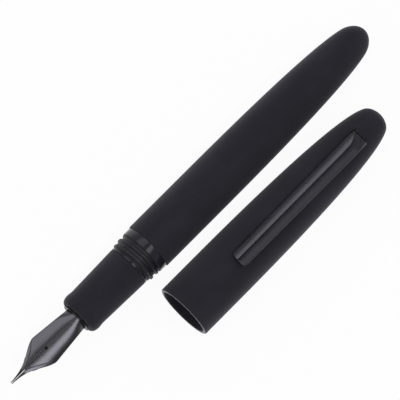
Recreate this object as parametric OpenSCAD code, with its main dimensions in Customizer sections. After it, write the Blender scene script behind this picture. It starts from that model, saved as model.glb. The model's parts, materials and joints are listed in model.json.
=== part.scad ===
// Fountain pen lying beside its cap, in millimetres.
// The nib points to -X, the cap lies on the -Y side and both rest on the plane Z = 0.

/* [Grip and nib] */
// Length of nib that stands out in front of the grip's collar
nib_out = 23.7; // [22:0.1:26]
// Width of the nib at its shoulders
nib_w = 8.74; // [8:0.02:9.2]
// Distance from the nib's tip to its shoulders
nib_shoulder_x = 12; // [10:0.1:14]
// Width of the nib where it enters the grip
nib_heel_w = 6.4; // [6:0.05:6.8]
// Depth of the nib's curve at its heel
nib_heel_drop = 2.5; // [2.2:0.05:2.7]
// Thickness of the nib's sheet
nib_t = 0.35; // [0.25:0.01:0.45]
// Width of the slit between the tines
slit_w = 0.12; // [0.08:0.01:0.2]
// Diameter of the hole at the end of the slit
breather_d = 0.9; // [0.6:0.05:1.6]
// Diameter of the writing pellet
tipping_d = 0.84; // [0.6:0.02:1.2]
// Turn of the nib about the pen's axis, in degrees
nib_roll = -1; // [-15:1:15]
// How far the collar round the nib stands proud of the grip
flange_proud = 0.5; // [0.3:0.05:0.8]
// Wall of the housing that holds nib and feed
housing_wall = 0.6; // [0.5:0.05:0.8]
// Length of the grip
grip_l = 18.65; // [17:0.05:24]
// Diameter of the grip at its front lip
grip_lip_d = 11.6; // [11.2:0.05:12.2]
// Diameter of the grip at its waist
grip_waist_d = 11.3; // [11:0.05:12]
// Diameter of the grip at its rear edge
grip_rear_d = 12.1; // [11.8:0.05:12.2]
// Length of the grip's rounded front lip
grip_lip_l = 2; // [1.2:0.1:3]

/* [Thread collar] */
// Length of the smooth ring in front of the cap thread
ring_l = 1.05; // [0.8:0.05:2]
// Diameter of the smooth ring
ring_d = 12.1; // [11.5:0.05:12.2]
// Length of the cap thread
thread_l = 3.85; // [3.4:0.05:6]
// Outer diameter of the cap thread
thread_d = 13.2; // [13:0.02:13.3]
// Depth of the cap thread
thread_depth = 0.45; // [0.3:0.01:0.5]
// Distance between the turns of the cap thread
thread_pitch = 1.9; // [1.6:0.05:2]
// Length of the neck behind the cap thread
neck_l = 2.35; // [1.8:0.05:4]
// Diameter of the neck
neck_d = 13.4; // [13.3:0.02:13.6]
// Length of the collar's spigot inside the barrel
spigot_l = 7; // [5:0.5:10]

/* [Barrel] */
// Length of the barrel behind its lip
barrel_l = 81; // [79:0.5:95]
// Diameter of the barrel
barrel_d = 13.86; // [13.7:0.02:14.6]
// Length of the barrel's straight stretch
barrel_straight_l = 16; // [10:0.5:24]
// Length of the rounding at the barrel's end
barrel_end_l = 4.5; // [3:0.1:8]
// Wall of the barrel at its thinnest
barrel_wall = 1.1; // [1:0.05:1.3]

/* [Section bush and converter] */
// Wall of the bush that screws the grip to the barrel
bush_wall = 0.85; // [0.7:0.05:1]
// Length of the bush inside the grip
bush_in = 5.85; // [4:0.05:7]
// Length of the bush inside the barrel
bush_out = 11.2; // [8:0.1:14]
// Length of the nipple that the converter pushes on to
nipple_l = 6.5; // [5:0.1:8]
// Diameter of the nipple
nipple_d = 4.4; // [4:0.05:4.8]
// Length of the converter
conv_l = 70; // [66:0.5:72]
// Diameter of the converter's mouth
conv_d = 7.6; // [7.4:0.05:7.8]
// Length of the converter's mouth
conv_mouth_l = 9; // [8.5:0.1:12]
// Diameter of the ink tube
tube_d = 7.2; // [7:0.05:7.3]
// Wall of the ink tube
tube_wall = 0.6; // [0.5:0.05:0.7]
// Length of the metal band
band_l = 14; // [12:0.5:16]
// Wall of the metal band
band_wall = 0.2; // [0.15:0.01:0.25]
// Length of the filling knob behind the band
knob_l = 13.7; // [12:0.1:16]
// Diameter of the filling knob
knob_d = 7.3; // [7:0.05:7.6]
// Number of ribs round the filling knob
knob_ribs = 18; // [12:1:24]
// Travel of the piston
stroke = 24; // [18:0.5:25]
// Diameter of the piston's hollow stem
rod_d = 3.7; // [3.4:0.05:3.9]
// Diameter of the spindle inside the stem
spindle_d = 2; // [1.6:0.05:2.2]
// Length of the piston's seal
seal_l = 5; // [4:0.1:6]

/* [Cap] */
// Length of the cap
cap_l = 73.4; // [73:0.1:80]
// Diameter of the cap at its mouth
cap_d = 16.05; // [15.8:0.05:17]
// Length of the cap's straight stretch behind its mouth
cap_straight_l = 12; // [8:0.5:18]
// Length of the rounding at the cap's end
cap_end_l = 2; // [1:0.1:5]
// Room between the cap's mouth and the neck
cap_play = 0.2; // [0.15:0.01:0.25]
// Distance between the axes of pen and cap
axis_gap = 18.35; // [16.5:0.05:30]
// Distance of the cap's mouth behind the nib's tip
cap_ahead = 44.5; // [30:0.5:52]
// Turn of the cap about its axis, in degrees
cap_roll = 3.5; // [-15:0.5:15]

/* [Liner] */
// Wall of the liner that covers the nib
liner_wall = 0.6; // [0.5:0.05:0.7]
// Room between the nib's shoulders and the liner
liner_play = 0.25; // [0.2:0.05:0.3]
// Travel of the liner
liner_travel = 2.8; // [2:0.1:3]
// Part of that travel taken up when the cap is on
liner_press = 2.2; // [1.5:0.1:2.5]
// Length of the bush that holds the liner
liner_bush_l = 8.3; // [6:0.1:9]
// Diameter of the spring's wire
spring_wire_d = 0.5; // [0.4:0.02:0.6]
// Diameter of the spring at the middle of its wire
spring_d = 5.5; // [5.2:0.1:6]
// Number of coils in the spring
spring_coils = 6; // [4:1:7]

/* [Clip] */
// Length of the clip
clip_l = 46.1; // [40:0.1:50]
// Distance of the clip's root from the cap's mouth
clip_root = 63.9; // [63.5:0.1:65]
// Width of the clip at its root
clip_root_w = 4.9; // [4.4:0.05:5.2]
// Width of the clip at its tip
clip_tip_w = 4.5; // [3.6:0.05:4.9]
// Thickness of the clip
clip_t = 1.2; // [1:0.05:1.5]
// Depth of the trough along the clip
clip_trough = 0.42; // [0.15:0.01:0.5]
// Width of the flat rim beside the trough
clip_rim = 0.2; // [0.1:0.05:0.6]
// Room between the clip and the cap at the clip's tip
clip_gap = 0.9; // [0.7:0.05:1.4]
// Thickness of the clip's tab
tab_t = 0.8; // [0.6:0.05:0.9]
// Width of the clip's tab
tab_w = 3.4; // [2.8:0.1:4]
// Length of the slot that shows past the clip's root
slot_past = 0.95; // [0.4:0.05:1.2]
// Diameter of the clip's screw
screw_d = 1.9; // [1.6:0.05:2.2]
// Length of the screw's thread in the cap's end
screw_hold = 4; // [3:0.1:4.5]
// Thickness of the plug behind the clip's tab
plug_l = 1.6; // [1.2:0.1:2]

/* [Hidden] */
$fn = 96;

// Clearances: glued pieces, running fits, and faces that meet across a joint
glue = 0.05;
fit = 0.1;
seam = 0.1;
// Free room round pieces that move past each other, and the bevel of turned edges
room = 0.3;
edge = 0.25;

// Stations along the pen, counted from the nib's tip
flange_sunk = 0.7;
flange_l = flange_proud + flange_sunk;
grip_x0 = nib_out + flange_proud;
grip_x1 = grip_x0 + grip_l;
collar_x0 = grip_x1 + seam;
thread_x0 = collar_x0 + ring_l;
thread_x1 = thread_x0 + thread_l;
lip_x = thread_x1 + neck_l;
pen_l = lip_x + barrel_l;
bush_x0 = grip_x1 - bush_in;
bush_x1 = grip_x1 + bush_out;
housing_x1 = bush_x0 - seam;

// Nib sheet: the top of its middle line, and its curve across, at a station x
nib_tip_w = 0.5;
nib_tip_z = 0.3;
nib_tip_curve = 0.36;
nib_shoulder_curve = 0.2;
nib_flat_share = 0.1;
nib_tip_power = 4;
nib_shoulder_power = 1.5;
nib_heel_power = 8;
nib_x0 = 0.6 * tipping_d;
housing_end_t = 1.2;
nib_x1 = housing_x1 - housing_end_t - 2 * fit;
nib_heel_r = arc_r(nib_heel_w / 2, nib_heel_drop);
nib_bend_x = nib_shoulder_x + 2;
nib_rows = 30;
nib_columns = 12;

// Feed under the nib
feed_x0 = 5;
feed_x1 = nib_x1 + fit;
feed_nose_r = 1.1;

// Radii from the middle of the pen outwards
feed_r = nib_heel_r - nib_t - glue;
housing_bore_r = nib_heel_r + glue;
housing_r = housing_bore_r + housing_wall;
flange_rim = 0.45;
flange_r = housing_r + flange_rim;
nipple_wall = 1.3;
conv_r = conv_d / 2;
bush_r = conv_r + fit + bush_wall;
collar_bore_r = bush_r + fit;
thread_root_r = thread_d / 2 - thread_depth;
relief_l = 0.5;
relief_depth = 0.2;
relief_r = ring_d / 2 - relief_depth;
barrel_r = barrel_d / 2;
barrel_mouth_r = barrel_r - barrel_wall;

// Outline exponents of the two tapering shells, and of the rounding at their ends
barrel_taper = [2.6, 4.2];
cap_taper = [2.21, 3.91];
end_power = 0.26;
taper_steps = 36;

// Stations along the converter, counted from its mouth
conv_x0 = housing_x1 + seam;
knob_s0 = conv_l - knob_l;
band_s1 = knob_s0 - 2 * fit;
band_lip_l = 0.8;
band_s0 = band_s1 - band_l;
tube_s0 = conv_mouth_l;
tube_in_band = 4;
tube_s1 = band_s0 + tube_in_band;
tube_r = tube_d / 2;
tube_bore_r = tube_r - tube_wall;
band_bore_r = tube_r + glue;
knob_room = 0.8;
knob_flange_l = 1.4;
neck_flange_s0 = tube_s1 + knob_room;
knob_wall = 1.4;
rod_end_room = 1.2;
rod_s1 = conv_l - knob_wall - rod_end_room;
spindle_hold = 3;
rod_tip_l = 1.8;
seal_face_t = 0.7;
rod_bore_s0 = rod_s1 - stroke - spindle_hold;
rod_s0 = rod_bore_s0 - rod_tip_l;
seal_s0 = rod_s0 - seal_face_t;
rod_r = rod_d / 2;
spindle_r = spindle_d / 2;
conv_pull = 9.5;
barrel_bore_x1 = conv_x0 + conv_l;
barrel_end_room = 1.5;
barrel_bore_x2 = barrel_bore_x1 + conv_pull + barrel_end_room;

// Stations inside the cap, counted from its mouth
cap_r = cap_d / 2;
cap_lip_r = neck_d / 2 + cap_play;
cap_thread_r = thread_d / 2 + fit;
cap_bore_r = grip_rear_d / 2 + room;
cap_thread_c1 = neck_l + thread_l + ring_l;
nib_reach = norm([nib_w / 2, nib_top(nib_shoulder_x) - nib_drop(nib_shoulder_x)]);
liner_r = nib_reach + liner_play + liner_wall;
liner_bore_r = liner_r - liner_wall;
liner_tip_room = 0.8;
liner_end_t = 1;
liner_lead_l = 1.3;
liner_flange_l = 1.5;
liner_c0 = lip_x - grip_x0 - room - liner_press;
liner_c1 = lip_x + liner_tip_room - liner_press + liner_end_t;
liner_bush_c0 = liner_c0 + liner_press + liner_lead_l;
liner_bush_c1 = liner_bush_c0 + liner_bush_l;
liner_flange_c1 = liner_bush_c1 + fit + liner_flange_l;
liner_flange_r = cap_bore_r - room / 2;
cap_step_c = liner_flange_c1 + liner_travel + room;
cap_liner_r = liner_r + room;
cap_liner_c1 = liner_c1 + liner_travel + room + fit;
chamber_r = (spring_d + spring_wire_d) / 2 + 3 * room;
chamber_c1 = clip_root + glue;
tab_c0 = clip_root - tab_t;
tab_room = 0.5;
plug_c1 = tab_c0 - tab_room;
plug_c0 = plug_c1 - plug_l;
screw_r = screw_d / 2;
head_r = 2 * screw_r;
head_l = 1.1;
head_slot_w = 0.4;
head_slot_depth = 0.5;

// Stations along the clip
clip_tip = clip_root - clip_l;
clip_shoulder = clip_tip + 1.7;
clip_knee = clip_root - 5.9;
clip_hip = clip_root - 3;
clip_pad_c = clip_tip + 2.4;
clip_knee_gap = 0.75;
clip_root_gap = 0.45;
clip_bevel = 0.2;
clip_crease = 0.06;

// Places of pen and cap on the table
pen_x = -pen_l / 2;
pen_y = (axis_gap + cap_r - barrel_r) / 2;
cap_x = pen_x + cap_ahead;
cap_y = pen_y - axis_gap;

// Radius of the arc with this half width and depth
function arc_r(half, depth) = (half * half + depth * depth) / (2 * depth);

function reversed(list) = [for (i = [len(list) - 1 : -1 : 0]) list[i]];

function blend(a, b, t) = a + (b - a) * min(1, max(0, t));

// Outline radius of a shell that is straight to x0 and then tapers to an end at x1
function taper_r(x, r, x0, x1, power) =
    x <= x0 ? r : r * pow(max(0, 1 - pow(min(1, (x - x0) / (x1 - x0)), power[0])), 1 / power[1]);

// Share of that radius which is left in the rounding, of length l, before the end at x1
function end_share(x, x1, l) = pow(1 - pow(min(1, max(0, 1 + (x - x1) / l)), 2), end_power);

function barrel_outer(x) =
    taper_r(x, barrel_r, lip_x + barrel_straight_l, pen_l, barrel_taper) * end_share(x, pen_l, barrel_end_l);

function cap_outer(c) =
    taper_r(c, cap_r, cap_straight_l, cap_l, cap_taper) * end_share(c, cap_l, cap_end_l);

// Stations from x0 to x1 that lie closer together towards x1
function closing_in(x0, x1, steps) = [for (i = [0 : steps]) x1 - (x1 - x0) * pow(1 - i / steps, 2)];

function nib_half_w(x) =
    let (t = x / nib_shoulder_x)
    x < nib_shoulder_x
        ? blend(nib_tip_w, nib_w, 0.25 * t + 0.375 * (1 - cos(180 * pow(t, 1.5)))) / 2
        : blend(nib_w, nib_heel_w, (x - nib_shoulder_x) / (nib_out - nib_shoulder_x)) / 2;

// How far the nib has turned to its heel's form behind the shoulders
function nib_turn(x) = pow(max(0, (x - nib_shoulder_x) / (nib_out - nib_shoulder_x)), nib_heel_power);

// Half the width of the flat along the nib's middle
function nib_flat(x) = nib_flat_share * nib_half_w(x) * max(0, 1 - nib_turn(x));

function nib_drop(x) =
    let (t = x / nib_shoulder_x)
    nib_half_w(x) * (t < 1
        ? nib_tip_curve * pow(1 - t, nib_tip_power) + nib_shoulder_curve * pow(t, nib_shoulder_power)
        : blend(nib_shoulder_curve, 2 * nib_heel_drop / nib_heel_w, nib_turn(x)));

function nib_top(x) = blend(nib_heel_r, nib_tip_z, pow(max(0, 1 - x / nib_bend_x), 2));

// One row of points across the nib, at a depth below its upper face
function nib_row(x, depth) =
    let (
        flat = nib_flat(x),
        r = arc_r(nib_half_w(x) - flat, nib_drop(x)),
        reach = asin((nib_half_w(x) - flat) / r))
    [for (i = [0 : nib_columns])
        let (a = reach * (2 * i / nib_columns - 1))
        [x, sign(a) * flat + (r - depth) * sin(a), nib_top(x) - r + (r - depth) * cos(a)]];

function feed_outer(x) =
    min(feed_r, nib_top(x) - nib_t - glue, sqrt(2 * feed_nose_r * max(0, x - feed_x0)));

function grip_outer(x) =
    let (s = x - grip_x0, front = flange_r + fit + glue)
    s < grip_lip_l
        ? front + (grip_lip_d / 2 - front) * sqrt(1 - pow(1 - s / grip_lip_l, 2))
        : s < 2 * grip_lip_l
            ? blend(grip_lip_d, grip_waist_d, (1 - cos(180 * (s / grip_lip_l - 1))) / 2) / 2
            : blend(grip_waist_d, grip_rear_d, (s - 2 * grip_lip_l) / (grip_l - 2 * grip_lip_l)) / 2;

// Lower face of the clip: straight from the tip to the knee, then down to the root
function clip_base(c) =
    let (
        tip_z = cap_outer(clip_tip) + clip_gap,
        knee_z = cap_outer(clip_knee) + clip_knee_gap,
        root_z = cap_outer(clip_root) + clip_root_gap)
    c < clip_knee
        ? blend(tip_z, knee_z, (c - clip_tip) / (clip_knee - clip_tip))
        : blend(knee_z, root_z, (c - clip_knee) / (clip_root - clip_knee));

function clip_half(c) = blend(clip_tip_w, clip_root_w, (c - clip_tip) / clip_l) / 2;

// Section across the clip: flat base, upright bevelled sides, and a crease along the middle
// with a sloping face on one side of it and a crowned bar on the other
function clip_section(c, half, trough) =
    let (
        z0 = clip_base(c),
        z1 = z0 + clip_t,
        flat = half - clip_bevel,
        bar_top = 0.6 * flat,
        bar_fall = 0.3 * trough)
    [for (p = [
        [-half, z0], [-half, z1 - clip_bevel], [-flat, z1], [clip_rim - flat, z1],
        [-clip_crease, z1 - trough], [clip_crease, z1 - bar_fall], [bar_top, z1],
        [flat, z1 - bar_fall / 2], [half, z1 - clip_bevel], [half, z0]
    ]) [c, p.x, p.y]];

// Ring of points round a coil's wire at an angle, for a coil about X
function coil_ring(angle, r, x, wire_r, sides) = [for (i = [0 : sides - 1])
    let (a = 360 * i / sides, q = r + wire_r * cos(a))
    [x + wire_r * sin(a), q * cos(angle), q * sin(angle)]];

module on_pen() translate([pen_x, pen_y, barrel_r]) children();

module on_nib() on_pen() rotate([nib_roll, 0, 0]) children();

module on_converter() on_pen() translate([conv_x0, 0, 0]) children();

module on_cap() translate([cap_x, cap_y, cap_r]) rotate([cap_roll, 0, 0]) children();

// Solid turned about X from an outline of [station, radius] points
module turned(outline) rotate([0, 90, 0]) rotate_extrude() polygon([for (p = outline) [p.y, p.x]]);

module tube(x0, x1, r, bore_r) turned([[x0, bore_r], [x1, bore_r], [x1, r], [x0, r]]);

module rod(x0, x1, r) translate([x0, 0, 0]) rotate([0, 90, 0]) cylinder(h = x1 - x0, r = r);

// Closed skin through rows of points, each row a ring in the same turning sense
module skin(rows) {
    n = len(rows[0]);
    last = len(rows) - 1;
    sides = [for (j = [0 : last - 1], i = [0 : n - 1])
        let (a = j * n + i, b = j * n + (i + 1) % n)
        each [[a, b, b + n], [a, b + n, a + n]]];
    ends = [[for (i = [n - 1 : -1 : 0]) i], [for (i = [0 : n - 1]) last * n + i]];
    polyhedron([for (row = rows) each row], concat(sides, ends));
}

// Ridge of a thread about X that runs in from nothing and then on to its end
module thread_ridge(x0, x1, root_r, height, pitch) {
    steps_per_turn = 32;
    half = 0.38 * pitch;
    crest = 0.15 * pitch;
    sunk = 0.15;
    steps = floor(steps_per_turn * (x1 - x0) / pitch);
    skin([for (i = [0 : steps])
        let (
            angle = 360 * i / steps_per_turn,
            x = x0 + pitch * i / steps_per_turn,
            rise = height * min(1, 0.1 + 3 * i / steps_per_turn))
        [for (p = [[-half, -sunk], [-crest, rise], [crest, rise], [half, -sunk]])
            [x + p.x, (root_r + p.y) * cos(angle), (root_r + p.y) * sin(angle)]]]);
}

module nib() color("dimgray") on_nib() difference() {
    skin([for (j = [0 : nib_rows])
        let (x = nib_x0 + (nib_x1 - nib_x0) * j / nib_rows)
        concat(reversed(nib_row(x, 0)), nib_row(x, nib_t))]);
    translate([0, -slit_w / 2, 0]) cube([nib_shoulder_x, slit_w, 2 * nib_heel_r]);
    translate([nib_shoulder_x, 0, 0]) cylinder(h = 2 * nib_heel_r, d = breather_d);
}

module nib_tipping() color("silver") on_nib() difference() {
    translate([tipping_d / 2, 0, nib_tip_z]) sphere(d = tipping_d);
    translate([nib_x0, -tipping_d, nib_tip_z - tipping_d]) cube(2 * tipping_d);
    translate([-tipping_d, -slit_w / 2, nib_tip_z - tipping_d])
        cube([3 * tipping_d, slit_w, 2 * tipping_d]);
}

module feed() color("#161618") on_nib() {
    fin_pitch = 1.1;
    fin_gap = 0.45;
    fin_depth = 0.8;
    fins_x0 = nib_bend_x - 1;
    channel_w = 0.5;
    nose_steps = 24;
    shelf_z = 0.15 * nib_heel_r;
    fin_top_z = -0.3;
    difference() {
        union() {
            turned(concat(
                [[feed_x0, 0]],
                [for (i = [1 : nose_steps])
                    let (x = blend(feed_x0, nib_out, i / nose_steps)) [x, feed_outer(x)]],
                [[feed_x1, feed_r], [feed_x1, 0]]));
            intersection() {
                rod(nib_out + seam, feed_x1, nib_heel_r);
                translate([nib_out, -nib_heel_r, -2 * nib_heel_r])
                    cube([feed_x1, 2 * nib_heel_r, 2 * nib_heel_r + shelf_z]);
            }
        }
        for (x = [fins_x0 : fin_pitch : nib_out - fin_pitch]) difference() {
            tube(x, x + fin_gap, 2 * feed_r, feed_r - fin_depth);
            translate([0, -2 * feed_r, fin_top_z]) cube([nib_out, 4 * feed_r, 4 * feed_r]);
        }
        translate([feed_x0 + 2, -channel_w / 2, feed_r - channel_w])
            cube([feed_x1, channel_w, 2 * channel_w]);
    }
}

module nib_housing() color("#101012") on_pen() turned([
    [nib_out, housing_bore_r], [nib_out, housing_r - 2 * fit], [grip_x0, flange_r],
    [nib_out + flange_l, flange_r], [nib_out + flange_l, housing_r], [housing_x1, housing_r],
    [housing_x1, nipple_d / 2], [housing_x1 + nipple_l, nipple_d / 2],
    [housing_x1 + nipple_l, nipple_d / 2 - nipple_wall],
    [housing_x1 - housing_end_t, nipple_d / 2 - nipple_wall], [housing_x1 - housing_end_t, housing_bore_r]
]);

module grip_section() color("#2b2b2f") on_pen() turned(concat(
    [for (s = [0 : 0.2 : 1]) let (x = grip_x0 + grip_lip_l * s * s) [x, grip_outer(x)]],
    [for (s = [0.125 : 0.125 : 1]) let (x = grip_x0 + grip_lip_l * (1 + s)) [x, grip_outer(x)]],
    [
        [grip_x1 - edge, grip_outer(grip_x1 - edge)], [grip_x1, grip_rear_d / 2 - edge],
        [grip_x1, bush_r + glue], [bush_x0 - glue, bush_r + glue],
        [bush_x0 - glue, housing_r + fit], [nib_out + flange_l + glue, housing_r + fit],
        [nib_out + flange_l + glue, flange_r + fit], [grip_x0, flange_r + fit]
    ]));

module section_bush() color("#b08d4a") on_pen() turned([
    [bush_x0, conv_r + fit], [bush_x0, bush_r], [bush_x1 - edge, bush_r],
    [bush_x1, bush_r - edge], [bush_x1, conv_r + fit]
]);

module thread_collar() color("#121214") on_pen() {
    run_in = 60;
    turned([
        [collar_x0, collar_bore_r], [collar_x0, ring_d / 2 - edge], [collar_x0 + edge, ring_d / 2],
        [thread_x0 - relief_l, ring_d / 2], [thread_x0 - relief_l, relief_r], [thread_x0, relief_r],
        [thread_x0, thread_root_r], [thread_x1, thread_root_r],
        [thread_x1, neck_d / 2 - edge], [thread_x1 + edge, neck_d / 2],
        [lip_x - glue, neck_d / 2], [lip_x - glue, barrel_mouth_r - glue],
        [lip_x + spigot_l, barrel_mouth_r - glue], [lip_x + spigot_l, collar_bore_r]
    ]);
    difference() {
        rotate([-run_in, 0, 0])
            thread_ridge(thread_x0 + (0.1 - run_in / 360) * thread_pitch, thread_x1,
                thread_root_r, thread_depth, thread_pitch);
        rod(collar_x0, thread_x0 + seam, neck_d / 2);
    }
}

module barrel() {
    bore_r1 = barrel_outer(barrel_bore_x1) - barrel_wall;
    bore_r2 = barrel_outer(barrel_bore_x2) - barrel_wall;
    color("#2b2b2f") on_pen() turned(concat(
        [[lip_x, barrel_mouth_r], [lip_x, barrel_r - edge], [lip_x + edge, barrel_r]],
        [for (x = closing_in(lip_x + barrel_straight_l, pen_l, taper_steps)) [x, barrel_outer(x)]],
        [
            [barrel_bore_x2, 0], [barrel_bore_x2, bore_r2], [barrel_bore_x1, bore_r2],
            [barrel_bore_x1, bore_r1], [lip_x + spigot_l + glue, bore_r1],
            [lip_x + spigot_l + glue, barrel_mouth_r]
        ]));
}

module converter_mouth() color("#1a1a1c") on_converter() {
    socket_l = nipple_l + room;
    tube_hold = 3;
    spigot_s1 = conv_mouth_l + tube_hold;
    hole_r = tube_bore_r / 2;
    turned([
        [0, nipple_d / 2 + glue], [0, conv_r], [conv_mouth_l - glue, conv_r],
        [conv_mouth_l - glue, tube_bore_r - glue], [spigot_s1, tube_bore_r - glue],
        [spigot_s1, hole_r], [socket_l, hole_r], [socket_l, nipple_d / 2 + glue]
    ]);
}

module converter_tube() color("lightcyan", 0.4) on_converter() tube(tube_s0, tube_s1, tube_r, tube_bore_r);

module converter_band() color("silver") on_converter() turned([
    [band_s0, band_bore_r], [band_s0, band_bore_r + band_wall], [band_s1, band_bore_r + band_wall],
    [band_s1, tube_bore_r], [band_s1 - band_lip_l, tube_bore_r], [band_s1 - band_lip_l, band_bore_r]
]);

module converter_knob() color("#1a1a1c") on_converter() {
    cavity_r = rod_r + room / 2;
    neck_r = tube_bore_r - fit;
    flange_s1 = neck_flange_s0 + knob_flange_l;
    rib_r = 0.28;
    rib_lead = 1;
    difference() {
        turned([
            [neck_flange_s0, cavity_r], [neck_flange_s0, band_bore_r - fit], [flange_s1, band_bore_r - fit],
            [flange_s1, neck_r], [knob_s0, neck_r], [knob_s0, knob_d / 2],
            [conv_l - 2 * edge, knob_d / 2], [conv_l, knob_d / 2 - 2 * edge], [conv_l, 0],
            [conv_l - knob_wall, 0], [conv_l - knob_wall, cavity_r]
        ]);
        for (i = [0 : knob_ribs - 1]) rotate([360 * i / knob_ribs, 0, 0])
            translate([0, 0, knob_d / 2]) rod(knob_s0 + rib_lead, conv_l + rib_lead, rib_r);
    }
}

module converter_spindle() color("#8d8f93") on_converter()
    rod(rod_bore_s0 + 2 * room, conv_l - knob_wall, spindle_r);

module piston_rod() color("#303236") on_converter() turned([
    [rod_s0, 0], [rod_s0, rod_r], [rod_s1, rod_r], [rod_s1, spindle_r + fit],
    [rod_bore_s0, spindle_r + fit], [rod_bore_s0, 0]
]);

module piston_seal() color("#202022") on_converter() {
    lip_r = tube_bore_r - glue;
    groove_r = lip_r - room;
    lip_l = 0.3 * seal_l;
    seal_s1 = seal_s0 + seal_l;
    turned([
        [seal_s0, 0], [seal_s0, lip_r], [seal_s0 + lip_l, lip_r], [seal_s0 + lip_l, groove_r],
        [seal_s1 - lip_l, groove_r], [seal_s1 - lip_l, lip_r], [seal_s1, lip_r],
        [seal_s1, rod_r + glue], [rod_s0 - glue, rod_r + glue], [rod_s0 - glue, 0]
    ]);
}

module cap_shell() color("#2b2b2f") on_cap() difference() {
    turned(concat(
        [[0, cap_lip_r + edge], [0, cap_r - edge], [edge, cap_r]],
        [for (c = closing_in(cap_straight_l, cap_l, taper_steps)) [c, cap_outer(c)]],
        [
            [chamber_c1 + screw_hold, 0], [chamber_c1 + screw_hold, screw_r + glue],
            [chamber_c1, screw_r + glue], [chamber_c1, chamber_r],
            [cap_liner_c1, chamber_r], [cap_liner_c1, cap_liner_r], [cap_step_c, cap_liner_r],
            [cap_step_c, cap_bore_r], [cap_thread_c1, cap_bore_r], [cap_thread_c1, cap_thread_r],
            [neck_l, cap_thread_r], [neck_l, cap_lip_r], [edge, cap_lip_r]
        ]));
    translate([tab_c0 - 3 * room, -clip_root_w / 2 - fit, 0.75 * chamber_r])
        cube([3 * room + tab_t + slot_past, clip_root_w + 2 * fit, cap_r]);
}

module cap_liner() color("#3a3a3e") on_cap() {
    stem_r = (spring_d - spring_wire_d) / 2 - room;
    turned([
        [liner_c0, liner_bore_r], [liner_c0, liner_r], [liner_bush_c1 + fit, liner_r],
        [liner_bush_c1 + fit, liner_flange_r], [liner_flange_c1, liner_flange_r],
        [liner_flange_c1, liner_r], [liner_c1, liner_r], [liner_c1, stem_r],
        [liner_c1 + liner_travel, stem_r], [liner_c1 + liner_travel, 0],
        [liner_c1 - liner_end_t, 0], [liner_c1 - liner_end_t, liner_bore_r]
    ]);
}

module liner_bush() color("#1a1a1c") on_cap()
    tube(liner_bush_c0, liner_bush_c1, cap_bore_r - glue, liner_r + fit);

module liner_spring() color("silver") on_cap() {
    rings_per_coil = 8;
    sides = 6;
    wire_r = spring_wire_d / 2;
    c0 = liner_c1 + wire_r + glue;
    c1 = plug_c0 - wire_r - glue;
    rings = spring_coils * rings_per_coil;
    skin([for (i = [0 : rings])
        coil_ring(360 * i / rings_per_coil, spring_d / 2, c0 + (c1 - c0) * i / rings, wire_r, sides)]);
}

module clip() color("#4a4a4e") on_cap() {
    tip_half = 0.5 * clip_half(clip_tip);
    pad_r = clip_base(clip_pad_c) - cap_outer(clip_pad_c) - fit;
    skin([
        clip_section(clip_tip, tip_half, 0.3 * clip_trough),
        clip_section(blend(clip_tip, clip_shoulder, 0.35), 0.85 * clip_half(clip_tip), 0.7 * clip_trough),
        clip_section(clip_shoulder, clip_half(clip_shoulder), clip_trough),
        clip_section(clip_knee, clip_half(clip_knee), clip_trough),
        clip_section(clip_hip, clip_half(clip_hip), clip_trough),
        clip_section(clip_root, clip_half(clip_root), 0)
    ]);
    translate([clip_pad_c, 0, clip_base(clip_pad_c)]) rotate([90, 0, 0])
        cylinder(h = 0.5 * clip_tip_w, r = pad_r, center = true);
    difference() {
        translate([tab_c0, -tab_w / 2, -head_r])
            cube([tab_t, tab_w, head_r + clip_base(clip_root) + clip_bevel]);
        rod(tab_c0 - tab_t, clip_root + tab_t, screw_r + 2 * fit);
    }
}

module clip_plug() color("#8d8f93") on_cap() tube(plug_c0, plug_c1, chamber_r - glue, screw_r + glue);

module clip_screw() color("#8d8f93") on_cap() difference() {
    union() {
        rod(plug_c0 - head_l, plug_c0, head_r);
        rod(plug_c0 - glue, chamber_c1 + screw_hold - fit, screw_r);
    }
    translate([plug_c0 - 2 * head_l, -head_r, -head_slot_w / 2])
        cube([head_l + head_slot_depth, 2 * head_r, head_slot_w]);
}

nib();
nib_tipping();
feed();
nib_housing();
grip_section();
section_bush();
thread_collar();
barrel();
converter_mouth();
converter_tube();
converter_band();
converter_knob();
converter_spindle();
piston_rod();
piston_seal();
cap_shell();
cap_liner();
liner_bush();
liner_spring();
clip();
clip_plug();
clip_screw();
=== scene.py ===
"""Fountain pen lying beside its screw cap: meshes, finishes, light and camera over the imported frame."""
import json
import logging
import math
from collections.abc import Callable, Sequence
from dataclasses import dataclass, field
from enum import Enum
from typing import Any

import bmesh
import bpy
from mathutils import Matrix, Vector

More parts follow.
